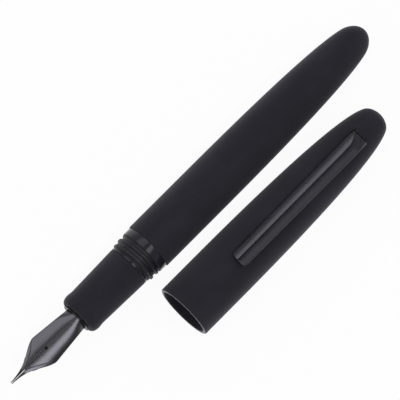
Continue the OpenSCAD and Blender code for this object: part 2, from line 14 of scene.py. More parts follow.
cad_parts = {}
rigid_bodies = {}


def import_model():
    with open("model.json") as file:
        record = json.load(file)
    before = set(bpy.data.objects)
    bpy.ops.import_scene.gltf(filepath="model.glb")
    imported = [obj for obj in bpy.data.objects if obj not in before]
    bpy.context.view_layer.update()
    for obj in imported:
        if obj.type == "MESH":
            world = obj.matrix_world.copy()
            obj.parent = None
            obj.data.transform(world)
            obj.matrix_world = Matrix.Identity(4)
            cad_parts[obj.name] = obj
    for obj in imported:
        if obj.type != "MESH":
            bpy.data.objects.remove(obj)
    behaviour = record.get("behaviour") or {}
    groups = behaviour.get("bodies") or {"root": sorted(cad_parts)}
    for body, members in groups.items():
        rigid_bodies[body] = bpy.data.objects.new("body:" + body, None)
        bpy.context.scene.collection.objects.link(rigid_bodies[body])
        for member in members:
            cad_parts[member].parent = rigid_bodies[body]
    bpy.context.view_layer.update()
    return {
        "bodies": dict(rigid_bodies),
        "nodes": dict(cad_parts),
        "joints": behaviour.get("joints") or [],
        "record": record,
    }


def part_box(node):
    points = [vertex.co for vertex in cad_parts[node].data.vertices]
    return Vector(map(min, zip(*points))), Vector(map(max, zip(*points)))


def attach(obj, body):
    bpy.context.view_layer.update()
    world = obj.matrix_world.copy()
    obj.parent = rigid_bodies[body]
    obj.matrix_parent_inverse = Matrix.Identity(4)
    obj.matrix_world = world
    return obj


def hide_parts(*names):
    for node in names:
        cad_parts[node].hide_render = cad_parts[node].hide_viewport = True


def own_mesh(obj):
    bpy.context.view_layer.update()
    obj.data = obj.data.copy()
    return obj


LOG = logging.getLogger("pen")
MM = 0.001
TINY = 1e-6
MERGE = 1e-5
ROOT_PLAY = 1e-3
TAPER_STEPS = 56

Outline = list[tuple[float, float]]
Point = tuple[float, float, float]
Colour = tuple[float, float, float]
Rule = Callable[[float, float, float], float]


def blend(a: float, b: float, t: float) -> float:
    """Mix two numbers, with the share kept between 0 and 1."""
    return a + (b - a) * min(1.0, max(0.0, t))


def ease(a: float, b: float, value: float) -> float:
    """Rise smoothly from 0 at a to 1 at b."""
    t = min(1.0, max(0.0, (value - a) / (b - a)))
    return t * t * (3 - 2 * t)


def span(a: float, b: float, steps: int) -> list[float]:
    """List evenly spaced numbers from a to b, both included."""
    return [a + (b - a) * i / steps for i in range(steps + 1)]


def closing_in(a: float, b: float, steps: int) -> list[float]:
    """List numbers from a to b that lie closer together towards b."""
    return [b - (b - a) * (1 - i / steps) ** 2 for i in range(steps + 1)]


def arc_radius(half: float, depth: float) -> float:
    """Give the radius of the arc with this half width and depth."""
    return (half * half + depth * depth) / (2 * depth)


@dataclass(frozen=True)
class Seat:
    """Place of a piece: a point on its axis in millimetres, and its turn about that axis."""

    x: float
    y: float
    z: float
    roll: float = 0.0

    def matrix(self) -> Matrix:
        """Give the transform from the piece's own millimetres to the frame's metres."""
        place = Matrix.Translation((self.x, self.y, self.z))
        return Matrix.Scale(MM, 4) @ place @ Matrix.Rotation(self.roll, 4, "X")

    def turned(self, degrees: float) -> "Seat":
        """Give the same place with a further turn about the axis."""
        return Seat(self.x, self.y, self.z, self.roll + math.radians(degrees))


class Joining(Enum):
    """Ways in which one shape works on another."""

    CUT = "DIFFERENCE"
    WELD = "UNION"


class Shape:
    """Mesh under construction, in a piece's own millimetres with its axis along X."""

    def __init__(self) -> None:
        """Start with an empty mesh."""
        self.mesh = bmesh.new()

    def turn(self, outline: Outline, steps: int = 144) -> "Shape":
        """Add a solid turned about the axis.

        Args:
            outline: Closed outline of (station, radius) points.
            steps: Number of faces round the axis.

        Returns:
            The shape itself.
        """
        verts = [self.mesh.verts.new((x, max(r, 0.0), 0.0)) for x, r in outline]
        pairs = zip(verts, verts[1:] + verts[:1])
        edges = [self.mesh.edges.new(pair) for pair in pairs if max(v.co.y for v in pair) > TINY]
        bmesh.ops.spin(
            self.mesh,
            geom=verts + edges,
            cent=(0, 0, 0),
            axis=(1, 0, 0),
            angle=2 * math.pi,
            steps=steps,
            use_merge=True,
        )
        return self.clean()

    def tube(self, x0: float, x1: float, bore: float, radius: float, steps: int = 144) -> "Shape":
        """Add a tube about the axis between two stations, or a rod where its bore is 0."""
        return self.turn([(x0, bore), (x0, radius), (x1, radius), (x1, bore)], steps)

    def loft(self, rings: Sequence[Sequence[Point]]) -> "Shape":
        """Add a closed skin through rings that have the same number of points.

        Args:
            rings: Rings of points, in order along the piece.

        Returns:
            The shape itself.
        """
        loops = []
        for ring in rings:
            verts = [self.mesh.verts.new(point) for point in ring]
            loops.append([self.mesh.edges.new(pair) for pair in zip(verts, verts[1:] + verts[:1])])
        for one, other in zip(loops, loops[1:]):
            bmesh.ops.bridge_loops(self.mesh, edges=one + other)
        bmesh.ops.holes_fill(self.mesh, edges=loops[0] + loops[-1], sides=0)
        return self.clean()

    def block(self, low: Point, high: Point) -> "Shape":
        """Add a box.

        Args:
            low: Its lowest corner.
            high: Its highest corner.

        Returns:
            The shape itself.
        """
        size = [b - a for a, b in zip(low, high)]
        middle = [(a + b) / 2 for a, b in zip(low, high)]
        matrix = Matrix.Translation(middle) @ Matrix.Diagonal((*size, 1.0))
        bmesh.ops.create_cube(self.mesh, size=1.0, matrix=matrix)
        return self

    def clean(self, distance: float = MERGE) -> "Shape":
        """Merge points that coincide and turn the faces outwards.

        Args:
            distance: How close points have to lie to be merged.

        Returns:
            The shape itself.
        """
        bmesh.ops.remove_doubles(self.mesh, verts=self.mesh.verts[:], dist=distance)
        bmesh.ops.recalc_face_normals(self.mesh, faces=self.mesh.faces[:])
        return self

    def soften(
        self,
        width: float,
        angle: float = 35.0,
        segments: int = 3,
        behind: float = -math.inf,
        before: float = math.inf,
        beside: float = 0.0,
    ) -> "Shape":
        """Round every edge that is sharper than an angle.

        Args:
            width: Width of the rounding on each side of the edge.
            angle: Least angle between two faces, in degrees, that is rounded.
            segments: Number of faces across the rounding.
            behind: Station in front of which edges stay as they are.
            before: Station behind which edges stay as they are.
            beside: Distance from the middle within which edges stay as they are.

        Returns:
            The shape itself.
        """
        least = math.radians(angle)
        sharp = [e for e in self.mesh.edges if e.is_manifold and e.calc_face_angle(0.0) > least]
        near = [e for e in sharp if all(behind < v.co.x < before for v in e.verts)]
        edges = [e for e in near if all(abs(v.co.y) >= beside for v in e.verts)]
        bmesh.ops.bevel(
            self.mesh,
            geom=edges,
            offset=width,
            offset_type="OFFSET",
            affect="EDGES",
            segments=segments,
            profile=0.5,
            material=-1,
            clamp_overlap=True,
        )
        return self.clean()

    def reradius(self, rule: Rule) -> "Shape":
        """Move each point to another distance from the axis.

        Args:
            rule: Gives the new radius for a point's station, angle and radius.

        Returns:
            The shape itself.
        """
        for vert in self.mesh.verts:
            x, y, z = vert.co
            radius = math.hypot(y, z)
            if radius > TINY:
                scale = rule(x, math.atan2(z, y), radius) / radius
                vert.co = (x, y * scale, z * scale)
        return self

    def raise_thread(
        self, run: "Thread", root: float, low: float = -math.inf, high: float = math.inf, way: float = 1.0
    ) -> "Shape":
        """Raise a thread from the points that lie at its root.

        Args:
            run: The thread.
            root: Radius of its root.
            low: Station in front of which points stay as they are.
            high: Station behind which points stay as they are.
            way: 1 for a thread that stands outwards, -1 for one in a bore.

        Returns:
            The shape itself.
        """

        def rule(x: float, angle: float, radius: float) -> float:
            """Lift a point that lies at the root."""
            on_root = abs(radius - root) < ROOT_PLAY and low < x < high
            return radius + way * run.height(x, angle) if on_root else radius

        return self.reradius(rule)

    def mark(self, name: str, low: float, high: float) -> "Shape":
        """Set a named attribute to 1 on points between two stations, and to 0 on the others.

        Args:
            name: The attribute's name.
            low: The first station.
            high: The second station.

        Returns:
            The shape itself.
        """
        layer = self.mesh.verts.layers.float.new(name)
        for vert in self.mesh.verts:
            vert[layer] = 1.0 if low < vert.co.x < high else 0.0
        return self

    def combine(self, tool: "Shape", way: Joining) -> "Shape":
        """Cut a tool's shape out of this one, or weld the two into one skin.

        Args:
            tool: The other shape, which is used up.
            way: Whether it is cut away or welded on.

        Returns:
            The shape itself.
        """
        target, other = self.as_object("target"), tool.as_object("tool")
        work = target.modifiers.new("combine", "BOOLEAN")
        work.object = other
        work.operation = way.value
        work.solver = "EXACT"
        graph = bpy.context.evaluated_depsgraph_get()
        result = bpy.data.meshes.new_from_object(target.evaluated_get(graph))
        self.mesh.clear()
        self.mesh.from_mesh(result)
        spent = [target.data, other.data, result]
        for made in (target, other):
            bpy.data.objects.remove(made)
        for data in spent:
            bpy.data.meshes.remove(data)
        tool.mesh.free()
        return self.clean()

    def as_object(self, name: str) -> bpy.types.Object:
        """Copy the mesh to the scene.

        Args:
            name: Name of the new object.

        Returns:
            The new object.
        """
        data = bpy.data.meshes.new(name)
        self.mesh.to_mesh(data)
        made = bpy.data.objects.new(name, data)
        bpy.context.scene.collection.objects.link(made)
        bpy.context.view_layer.update()
        return made


@dataclass(frozen=True)
class Thread:
    """Screw thread about X with one start, as heights over its root."""

    x0: float
    x1: float
    pitch: float
    depth: float
    crest: float = 0.12
    foot: float = 0.42
    run_in: float = 0.3
    run_out: float = 0.2

    def height(self, x: float, angle: float) -> float:
        """Work out the thread's height.

        Args:
            x: The station.
            angle: The angle about the axis, in radians.

        Returns:
            The height over the thread's root.
        """
        turn = (angle / (2 * math.pi)) % 1.0
        near = round((x - self.x0) / self.pitch - turn) + turn
        last = (self.x1 - self.x0) / self.pitch
        away = abs(x - self.x0 - near * self.pitch) / self.pitch
        ends = ease(-self.run_in, self.run_in, near) * ease(0.0, self.run_out, last - near)
        return self.depth * ends * (1 - ease(self.crest, self.foot, away))


class Number:
    """Value socket whose arithmetic adds Math nodes to its tree."""

    def __init__(self, tree: "Tree", socket: bpy.types.NodeSocket) -> None:
        """Keep the tree and the socket."""
        self.tree = tree
        self.socket = socket

    def maths(self, operation: str, *values: Any) -> "Number":
        """Add a Math node of this operation over the given values."""
        made = self.tree.node("ShaderNodeMath", {"operation": operation}, dict(enumerate(values)))
        return Number(self.tree, made.outputs[0])

    def __add__(self, other: Any) -> "Number":
        """Add."""
        return self.maths("ADD", self, other)

    __radd__ = __add__

    def __sub__(self, other: Any) -> "Number":
        """Take away."""
        return self.maths("SUBTRACT", self, other)

    def __rsub__(self, other: Any) -> "Number":
        """Take this away from another value."""
        return self.maths("SUBTRACT", other, self)

    def __mul__(self, other: Any) -> "Number":
        """Multiply."""
        return self.maths("MULTIPLY", self, other)

    __rmul__ = __mul__

    def __truediv__(self, other: Any) -> "Number":
        """Divide."""
        return self.maths("DIVIDE", self, other)

    def __rtruediv__(self, other: Any) -> "Number":
        """Divide another value by this."""
        return self.maths("DIVIDE", other, self)

    def away_from(self, other: float) -> "Number":
        """Give the distance from a number."""
        return self.maths("ABSOLUTE", self - other)

    def between(self, low: float, high: float) -> "Number":
        """Rise smoothly between two values, or fall where the first is the larger.

        Args:
            low: Value up to which the result is 0.
            high: Value from which the result is 1.

        Returns:
            The result.
        """
        if low > high:
            return 1.0 - self.between(high, low)
        settings = {"interpolation_type": "SMOOTHSTEP"}
        made = self.tree.node("ShaderNodeMapRange", settings, {"Value": self, 1: low, 2: high})
        return Number(self.tree, made.outputs["Result"])


class Tree:
    """Node tree of one material or world, with one way to add its nodes."""

    def __init__(self, owner: bpy.types.ID) -> None:
        """Empty the owner's tree and keep it.

        Args:
            owner: The material or world.
        """
        owner.use_nodes = True
        self.nodes = owner.node_tree.nodes
        self.links = owner.node_tree.links
        self.nodes.clear()

    def node(
        self, kind: str, settings: dict[str, Any] | None = None, inputs: dict[Any, Any] | None = None
    ) -> bpy.types.Node:
        """Add a node.

        Args:
            kind: The node's type.
            settings: Properties that are set before its sockets.
            inputs: Values or links for its sockets, by name or number.

        Returns:
            The new node.
        """
        made = self.nodes.new(kind)
        for key, value in (settings or {}).items():
            setattr(made, key, value)
        for key, value in (inputs or {}).items():
            source = value.socket if isinstance(value, Number) else value
            if isinstance(source, bpy.types.NodeSocket):
                self.links.new(source, made.inputs[key])
            else:
                made.inputs[key].default_value = source
        return made

    def place(self) -> bpy.types.NodeSocket:
        """Give the place of a surface point, in metres."""
        return self.node("ShaderNodeTexCoord").outputs["Object"]

    def marked(self, name: str) -> Number:
        """Give the value of a named attribute of the mesh, which is 0 on meshes without it."""
        return Number(self, self.node("ShaderNodeAttribute", {"attribute_name": name}).outputs["Fac"])

    def stretched(self, sizes: tuple[float, float, float]) -> bpy.types.NodeSocket:
        """Give the surface point scaled so that a pattern has these sizes, in millimetres."""
        scale = tuple(1 / (MM * size) for size in sizes)
        return self.node("ShaderNodeMapping", None, {"Vector": self.place(), "Scale": scale}).outputs[0]

    def noise(self, sizes: tuple[float, float, float], detail: float = 2.0) -> Number:
        """Add noise whose grains have these sizes along X, Y and Z, in millimetres."""
        inputs = {"Vector": self.stretched(sizes), "Scale": 1.0, "Detail": detail, "Roughness": 0.55}
        return Number(self, self.node("ShaderNodeTexNoise", None, inputs).outputs[0])

    def mix(self, share: Any, a: Any, b: Any) -> bpy.types.NodeSocket:
        """Mix two colours."""
        made = self.node("ShaderNodeMix", {"data_type": "RGBA"}, {0: share, 6: a, 7: b})
        return made.outputs[2]

    def shade(self, share: Any, colour: Colour, low: float, high: float) -> bpy.types.NodeSocket:
        """Mix two shades of a colour, each given as a scale of its brightness."""
        return self.mix(share, rgba(colour, low), rgba(colour, high))

    def bump(self, height: Any, depth: float, strength: float = 1.0) -> bpy.types.NodeSocket:
        """Give the normal of a surface with this height, whose full depth is in millimetres."""
        inputs = {"Height": height, "Distance": depth * MM, "Strength": strength}
        return self.node("ShaderNodeBump", None, inputs).outputs[0]

    def surface(self, inputs: dict[str, Any]) -> None:
        """End the tree in a Principled surface with these inputs."""
        shader = self.node("ShaderNodeBsdfPrincipled", None, inputs)
        self.node("ShaderNodeOutputMaterial", None, {"Surface": shader.outputs[0]})


def rgba(colour: Colour, scale: float = 1.0) -> tuple[float, float, float, float]:
    """Give a colour with full cover, its brightness scaled."""
    return (colour[0] * scale, colour[1] * scale, colour[2] * scale, 1.0)


@dataclass(frozen=True)
class Finish:
    """Surface finish of a kind of piece."""

    colour: Colour
    roughness: float

    def dress(self, tree: Tree) -> None:
        """Fill a material's tree with the finish."""
        raise NotImplementedError

    def material(self, name: str) -> bpy.types.Material:
        """Make the material of this finish.

        Args:
            name: The material's name.

        Returns:
            The new material.
        """
        made = bpy.data.materials.new(name)
        made.diffuse_color = rgba(self.colour)
        self.dress(Tree(made))
        return made


@dataclass(frozen=True)
class MatteResin(Finish):
    """Resin under a matte lacquer, with a fine dry grain, soft clouds in its sheen and burnished rims."""

    grain_mm: float = 0.16
    grain_depth_mm: float = 0.006
    cloud_mm: float = 7.0
    cloud_stretch: float = 2.2
    specular: float = 0.08
    sheen: float = 0.24
    sheen_roughness: float = 0.45
    sheen_tint: Colour = (0.9, 0.87, 1.0)
    burnish: float = 0.6

    def dress(self, tree: Tree) -> None:
        """Fill a material's tree with the lacquer.

        Args:
            tree: The tree, which is empty.
        """
        grain = tree.noise((self.grain_mm,) * 3, 3.0)
        cloud = tree.noise((self.cloud_stretch * self.cloud_mm, self.cloud_mm, self.cloud_mm), 3.0)
        rubbed = cloud.between(0.35, 0.7)
        lacquer = self.roughness + 0.1 * grain - 0.06 * rubbed
        tree.surface(
            {
                "Base Color": tree.shade(rubbed, self.colour, 0.9, 1.1),
                "Roughness": lacquer - self.burnish * tree.marked("burnish"),
                "Specular IOR Level": self.specular,
                "Sheen Weight": self.sheen,
                "Sheen Roughness": self.sheen_roughness,
                "Sheen Tint": rgba(self.sheen_tint),
                "Normal": tree.bump(grain, self.grain_depth_mm, 0.6),
            }
        )


@dataclass(frozen=True)
class GlossResin(Finish):
    """Polished resin, with the faint rings that turning leaves, and rougher threads darkened with painted
    shade.
    """

    ring_mm: float = 0.06
    ring_depth_mm: float = 0.0015
    haze_mm: float = 3.0
    specular: float = 0.33
    thread_cover: float = 0.45
    thread_shade: float = 0.2
    thread_roughness: float = 0.3

    def dress(self, tree: Tree) -> None:
        """Fill a material's tree with the polished resin.

        Args:
            tree: The tree, which is empty.
        """
        rings = tree.noise((self.ring_mm, 4.0, 4.0), 1.0)
        haze = tree.noise((self.haze_mm,) * 3)
        thread = tree.marked("thread")
        resin = tree.shade(haze, self.colour, 0.8, 1.2)
        # Painted shade: in the thread zone the colour is mixed towards a much darker copy of itself.
        thread_painted_shade = rgba(self.colour, self.thread_shade)
        tree.surface(
            {
                "Base Color": tree.mix(self.thread_cover * thread, resin, thread_painted_shade),
                "Roughness": self.roughness + 0.12 * haze * rings + self.thread_roughness * thread,
                "Specular IOR Level": self.specular,
                "Normal": tree.bump(rings, self.ring_depth_mm, 0.5),
            }
        )


@dataclass(frozen=True)
class CoatedSteel(Finish):
    """Polished steel under a thin dark metallic coat, with fine lengthwise polishing lines."""

    line_mm: float = 0.05
    line_l_mm: float = 9.0
    line_depth_mm: float = 0.0008

    def lines(self, tree: Tree) -> Number:
        """Give the polishing lines."""
        return tree.noise((self.line_l_mm, self.line_mm, self.line_mm))

    def dress(self, tree: Tree) -> None:
        """Fill a material's tree with the coat.

        Args:
            tree: The tree, which is empty.
        """
        lines = self.lines(tree)
        cloud = tree.noise((5.0, 2.0, 2.0))
        tree.surface(
            {
                "Base Color": tree.shade(cloud, self.colour, 0.88, 1.12),
                "Metallic": 1.0,
                "Roughness": self.roughness + 0.1 * lines * cloud,
                "Normal": tree.bump(lines, self.line_depth_mm, 0.5),
            }
        )


@dataclass(frozen=True)
class NibSteel(CoatedSteel):
    """Coated nib steel with an engraved border along each side, and painted shade on the sides of its tip
    that leaves the tip's middle lighter.
    """

    inset: float = 1.0
    border_w: float = 0.16
    border_depth_mm: float = 0.06
    border_shade: float = 0.45
    start: float = 3.6
    start_l: float = 0.8
    end: float = 12.0
    end_l: float = 0.4
    closing_l: float = 3.0
    tip_l: float = 4.3
    tip_fade: float = 0.4
    tip_shade: float = 0.2

    def dress(self, tree: Tree) -> None:
        """Fill a material's tree with the coat and its border.

        Args:
            tree: The tree, which is empty.
        """
        sheet = tree.node("ShaderNodeAttribute", {"attribute_name": "sheet"}).outputs["Vector"]
        parts = tree.node("ShaderNodeSeparateXYZ", None, {0: sheet}).outputs
        along, arc, rim = (Number(tree, part) for part in parts)
        aside = arc.away_from(0.0)
        in_tip = along.between(self.tip_l + self.tip_fade, self.tip_l - self.tip_fade)
        # Painted shade: towards the tip, points away from the middle are darkened to a fifth of the coat's
        # colour, standing in for the dark reflections on the tip's curved sides.
        tip_side_painted_shade = (aside / (aside + rim)).between(0.12, 0.35) * in_tip
        reach = along.between(self.end, self.end - self.closing_l)
        line = (rim - self.inset * reach).away_from(0.0).between(self.border_w, 0.4 * self.border_w)
        begun = along.between(self.start, self.start + self.start_l)
        groove = line * begun * along.between(self.end, self.end - self.end_l)
        lines = self.lines(tree)
        cloud = tree.noise((4.0, 2.0, 2.0))
        coat = tree.shade(cloud, self.colour, 0.9, 1.1)
        engraved = tree.mix(groove, coat, rgba(self.colour, self.border_shade))
        tree.surface(
            {
                "Base Color": tree.mix(tip_side_painted_shade, engraved, rgba(self.colour, self.tip_shade)),
                "Metallic": 1.0,
                "Roughness": self.roughness + 0.08 * lines * cloud + 0.2 * groove,
                "Normal": tree.bump(lines * 0.01 - groove, self.border_depth_mm),
            }
        )


@dataclass(frozen=True)
class TurnedMetal(Finish):
    """Bare metal off the lathe, with rings round its axis and a little tarnish."""

    ring_mm: float = 0.05
    ring_depth_mm: float = 0.004
    stain_mm: float = 1.6
    tarnish: float = 0.2

    def dress(self, tree: Tree) -> None:
        """Fill a material's tree with the turned metal.

        Args:
            tree: The tree, which is empty.
        """
        rings = tree.noise((self.ring_mm, 6.0, 6.0))
        stain = tree.noise((self.stain_mm,) * 3, 3.0).between(0.45, 0.75)
        bare = tree.shade(rings, self.colour, 0.9, 1.05)
        tree.surface(
            {
                "Base Color": tree.mix(stain, bare, rgba(self.colour, 1 - self.tarnish)),
                "Metallic": 1.0,
                "Roughness": self.roughness + 0.15 * rings + 0.1 * stain,
                "Normal": tree.bump(rings, self.ring_depth_mm, 0.6),
            }
        )


@dataclass(frozen=True)
class Chrome(Finish):
    """Bright plating with hairline scratches."""

    scratch_mm: float = 0.03
    scratch_depth_mm: float = 0.001

    def dress(self, tree: Tree) -> None:
        """Fill a material's tree with the plating.

        Args:
            tree: The tree, which is empty.
        """
        hairs = tree.noise((self.scratch_mm, 2.5, 2.5), 3.0).between(0.55, 0.75)
        smear = tree.noise((3.0, 2.0, 2.0))
        tree.surface(
            {
                "Base Color": tree.shade(smear, self.colour, 0.93, 1.0),
                "Metallic": 1.0,
                "Roughness": self.roughness + 0.08 * hairs + 0.04 * smear,
                "Normal": tree.bump(hairs, self.scratch_depth_mm, 0.5),
            }
        )


@dataclass(frozen=True)
class ClearPlastic(Finish):
    """Clear moulded plastic with faint flow lines."""

    flow_mm: float = 0.8
    flow_l_mm: float = 12.0
    flow_depth_mm: float = 0.004

    def dress(self, tree: Tree) -> None:
        """Fill a material's tree with the clear plastic.

        Args:
            tree: The tree, which is empty.
        """
        flow = tree.noise((self.flow_l_mm, self.flow_mm, self.flow_mm))
        tree.surface(
            {
                "Base Color": tree.shade(flow, self.colour, 0.97, 1.0),
                "Roughness": self.roughness + 0.03 * flow,
                "IOR": 1.49,
                "Transmission Weight": 1.0,
                "Normal": tree.bump(flow, self.flow_depth_mm, 0.4),
            }
        )


@dataclass(frozen=True)
class MouldedPlastic(Finish):
    """Moulded plastic with a fine sparked texture from its tool."""

    grain_mm: float = 0.1
    depth_mm: float = 0.004

    def dress(self, tree: Tree) -> None:
        """Fill a material's tree with the moulded plastic.

        Args:
            tree: The tree, which is empty.
        """
        grain = tree.noise((self.grain_mm,) * 3)
        flow = tree.noise((6.0, 2.5, 2.5))
        tree.surface(
            {
                "Base Color": tree.shade(flow, self.colour, 0.86, 1.14),
                "Roughness": self.roughness + 0.12 * grain,
                "Specular IOR Level": 0.45,
                "Normal": tree.bump(grain, self.depth_mm, 0.6),
            }
        )


FINISHES: dict[str, Finish] = {
    "matte_black": MatteResin((0.0205, 0.0195, 0.0262), 0.85),
    "gloss_black": GlossResin((0.018, 0.0165, 0.0243), 0.15),
    "bright_steel": TurnedMetal((0.4, 0.4, 0.42), 0.2),
    "feed_black": MouldedPlastic((0.012, 0.012, 0.013), 0.42),
    "brass": TurnedMetal((0.72, 0.52, 0.22), 0.22, tarnish=0.3),
    "clear": ClearPlastic((0.95, 0.98, 0.985), 0.03),
    "chromed": Chrome((0.8, 0.8, 0.82), 0.05),
    "rod_grey": MouldedPlastic((0.06, 0.06, 0.065), 0.3, grain_mm=0.06, depth_mm=0.001),
    "seal_black": MouldedPlastic((0.015, 0.015, 0.016), 0.7, grain_mm=0.05, depth_mm=0.006),
    "liner_grey": MouldedPlastic((0.045, 0.045, 0.048), 0.4),
    "alloy": TurnedMetal((0.6, 0.6, 0.62), 0.28, ring_mm=0.08),
}
NIB_FINISH = NibSteel((0.125, 0.122, 0.138), 0.215)
CLIP_FINISH = CoatedSteel((0.052, 0.05, 0.06), 0.25)
# Painted shade: the housing is made much darker than the other polished resin, standing in for the shadowed
# gap between nib and grip.
HOUSING_PAINTED_SHADE_FINISH = GlossResin((0.003, 0.003, 0.004), 0.3)


class Bench:
    """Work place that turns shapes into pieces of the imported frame."""

    def __init__(self, frame: dict[str, Any]) -> None:
        """Read the pieces' bodies and slots, and the seats of pen and cap, from the frame.

        Args:
            frame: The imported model, as it was loaded.
        """
        record = frame["record"]
        groups = record["behaviour"]["bodies"]
        self.body = {node: body for body, nodes in groups.items() for node in nodes}
        self.slot = {part["node"]: part["material_slot"] for part in record["subparts"]}
        self.finishes = {slot: finish.material(slot) for slot, finish in FINISHES.items()}
        lift = next(joint["axis"] for joint in frame["joints"] if joint["name"] == "clip_lift")
        self.pen = self.seat("nib_tipping", "barrel", 0.0)
        self.cap = self.seat("cap_shell", "cap_shell", math.atan2(lift[2], lift[1]))

    def seat(self, first: str, round_piece: str, roll: float) -> Seat:
        """Find a seat.

        Args:
            first: Node whose lowest X is the seat's start.
            round_piece: Node turned about the seat's axis.
            roll: Turn about the axis, in radians.

        Returns:
            The seat.
        """
        low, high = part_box(round_piece)
        middle = (low + high) / (2 * MM)
        return Seat(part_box(first)[0].x / MM, middle.y, middle.z, roll)

    def piece(
        self,
        shape: Shape,
        node: str,
        seat: Seat,
        sharp: float = 35.0,
        material: bpy.types.Material | None = None,
    ) -> bpy.types.Object:
        """Set a shape in the frame in place of a node.

        Args:
            shape: The finished shape, which is used up.
            node: The node that it stands for.
            seat: Where it goes.
            sharp: Least angle between faces, in degrees, that stays a crisp edge.
            material: Its material, where it isn't the one of the node's slot.

        Returns:
            The new piece.
        """
        mesh = shape.mesh
        for face in mesh.faces:
            face.smooth = True
        for edge in mesh.edges:
            edge.smooth = edge.is_manifold and edge.calc_face_angle(0.0) < math.radians(sharp)
        mesh.transform(seat.matrix())
        made = shape.as_object(f"{node}_piece")
        mesh.free()
        made.data.materials.append(material or self.finishes[self.slot[node]])
        normals = made.modifiers.new("even_normals", "WEIGHTED_NORMAL")
        normals.keep_sharp = True
        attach(made, self.body[node])
        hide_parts(node)
        LOG.info("%s: %d faces", made.name, len(made.data.polygons))
        return made


@dataclass(frozen=True)
class Taper:
    """Outline of a shell that is straight, then tapers to a round end."""

    radius: float
    straight_to: float
    end: float
    powers: tuple[float, float]
    end_l: float
    end_power: float = 0.26

    def at(self, x: float) -> float:
        """Work out the outline.

        Args:
            x: The station.

        Returns:
            The radius there.
        """
        t = min(1.0, max(0.0, (x - self.straight_to) / (self.end - self.straight_to)))
        side = self.radius * max(0.0, 1 - t ** self.powers[0]) ** (1 / self.powers[1])
        into = min(1.0, max(0.0, 1 + (x - self.end) / self.end_l))
        return side * (1 - into * into) ** self.end_power

    def points(self, steps: int) -> Outline:
        """List points of the tapering stretch, up to its end on the axis."""
        return [(x, self.at(x)) for x in closing_in(self.straight_to, self.end, steps)]


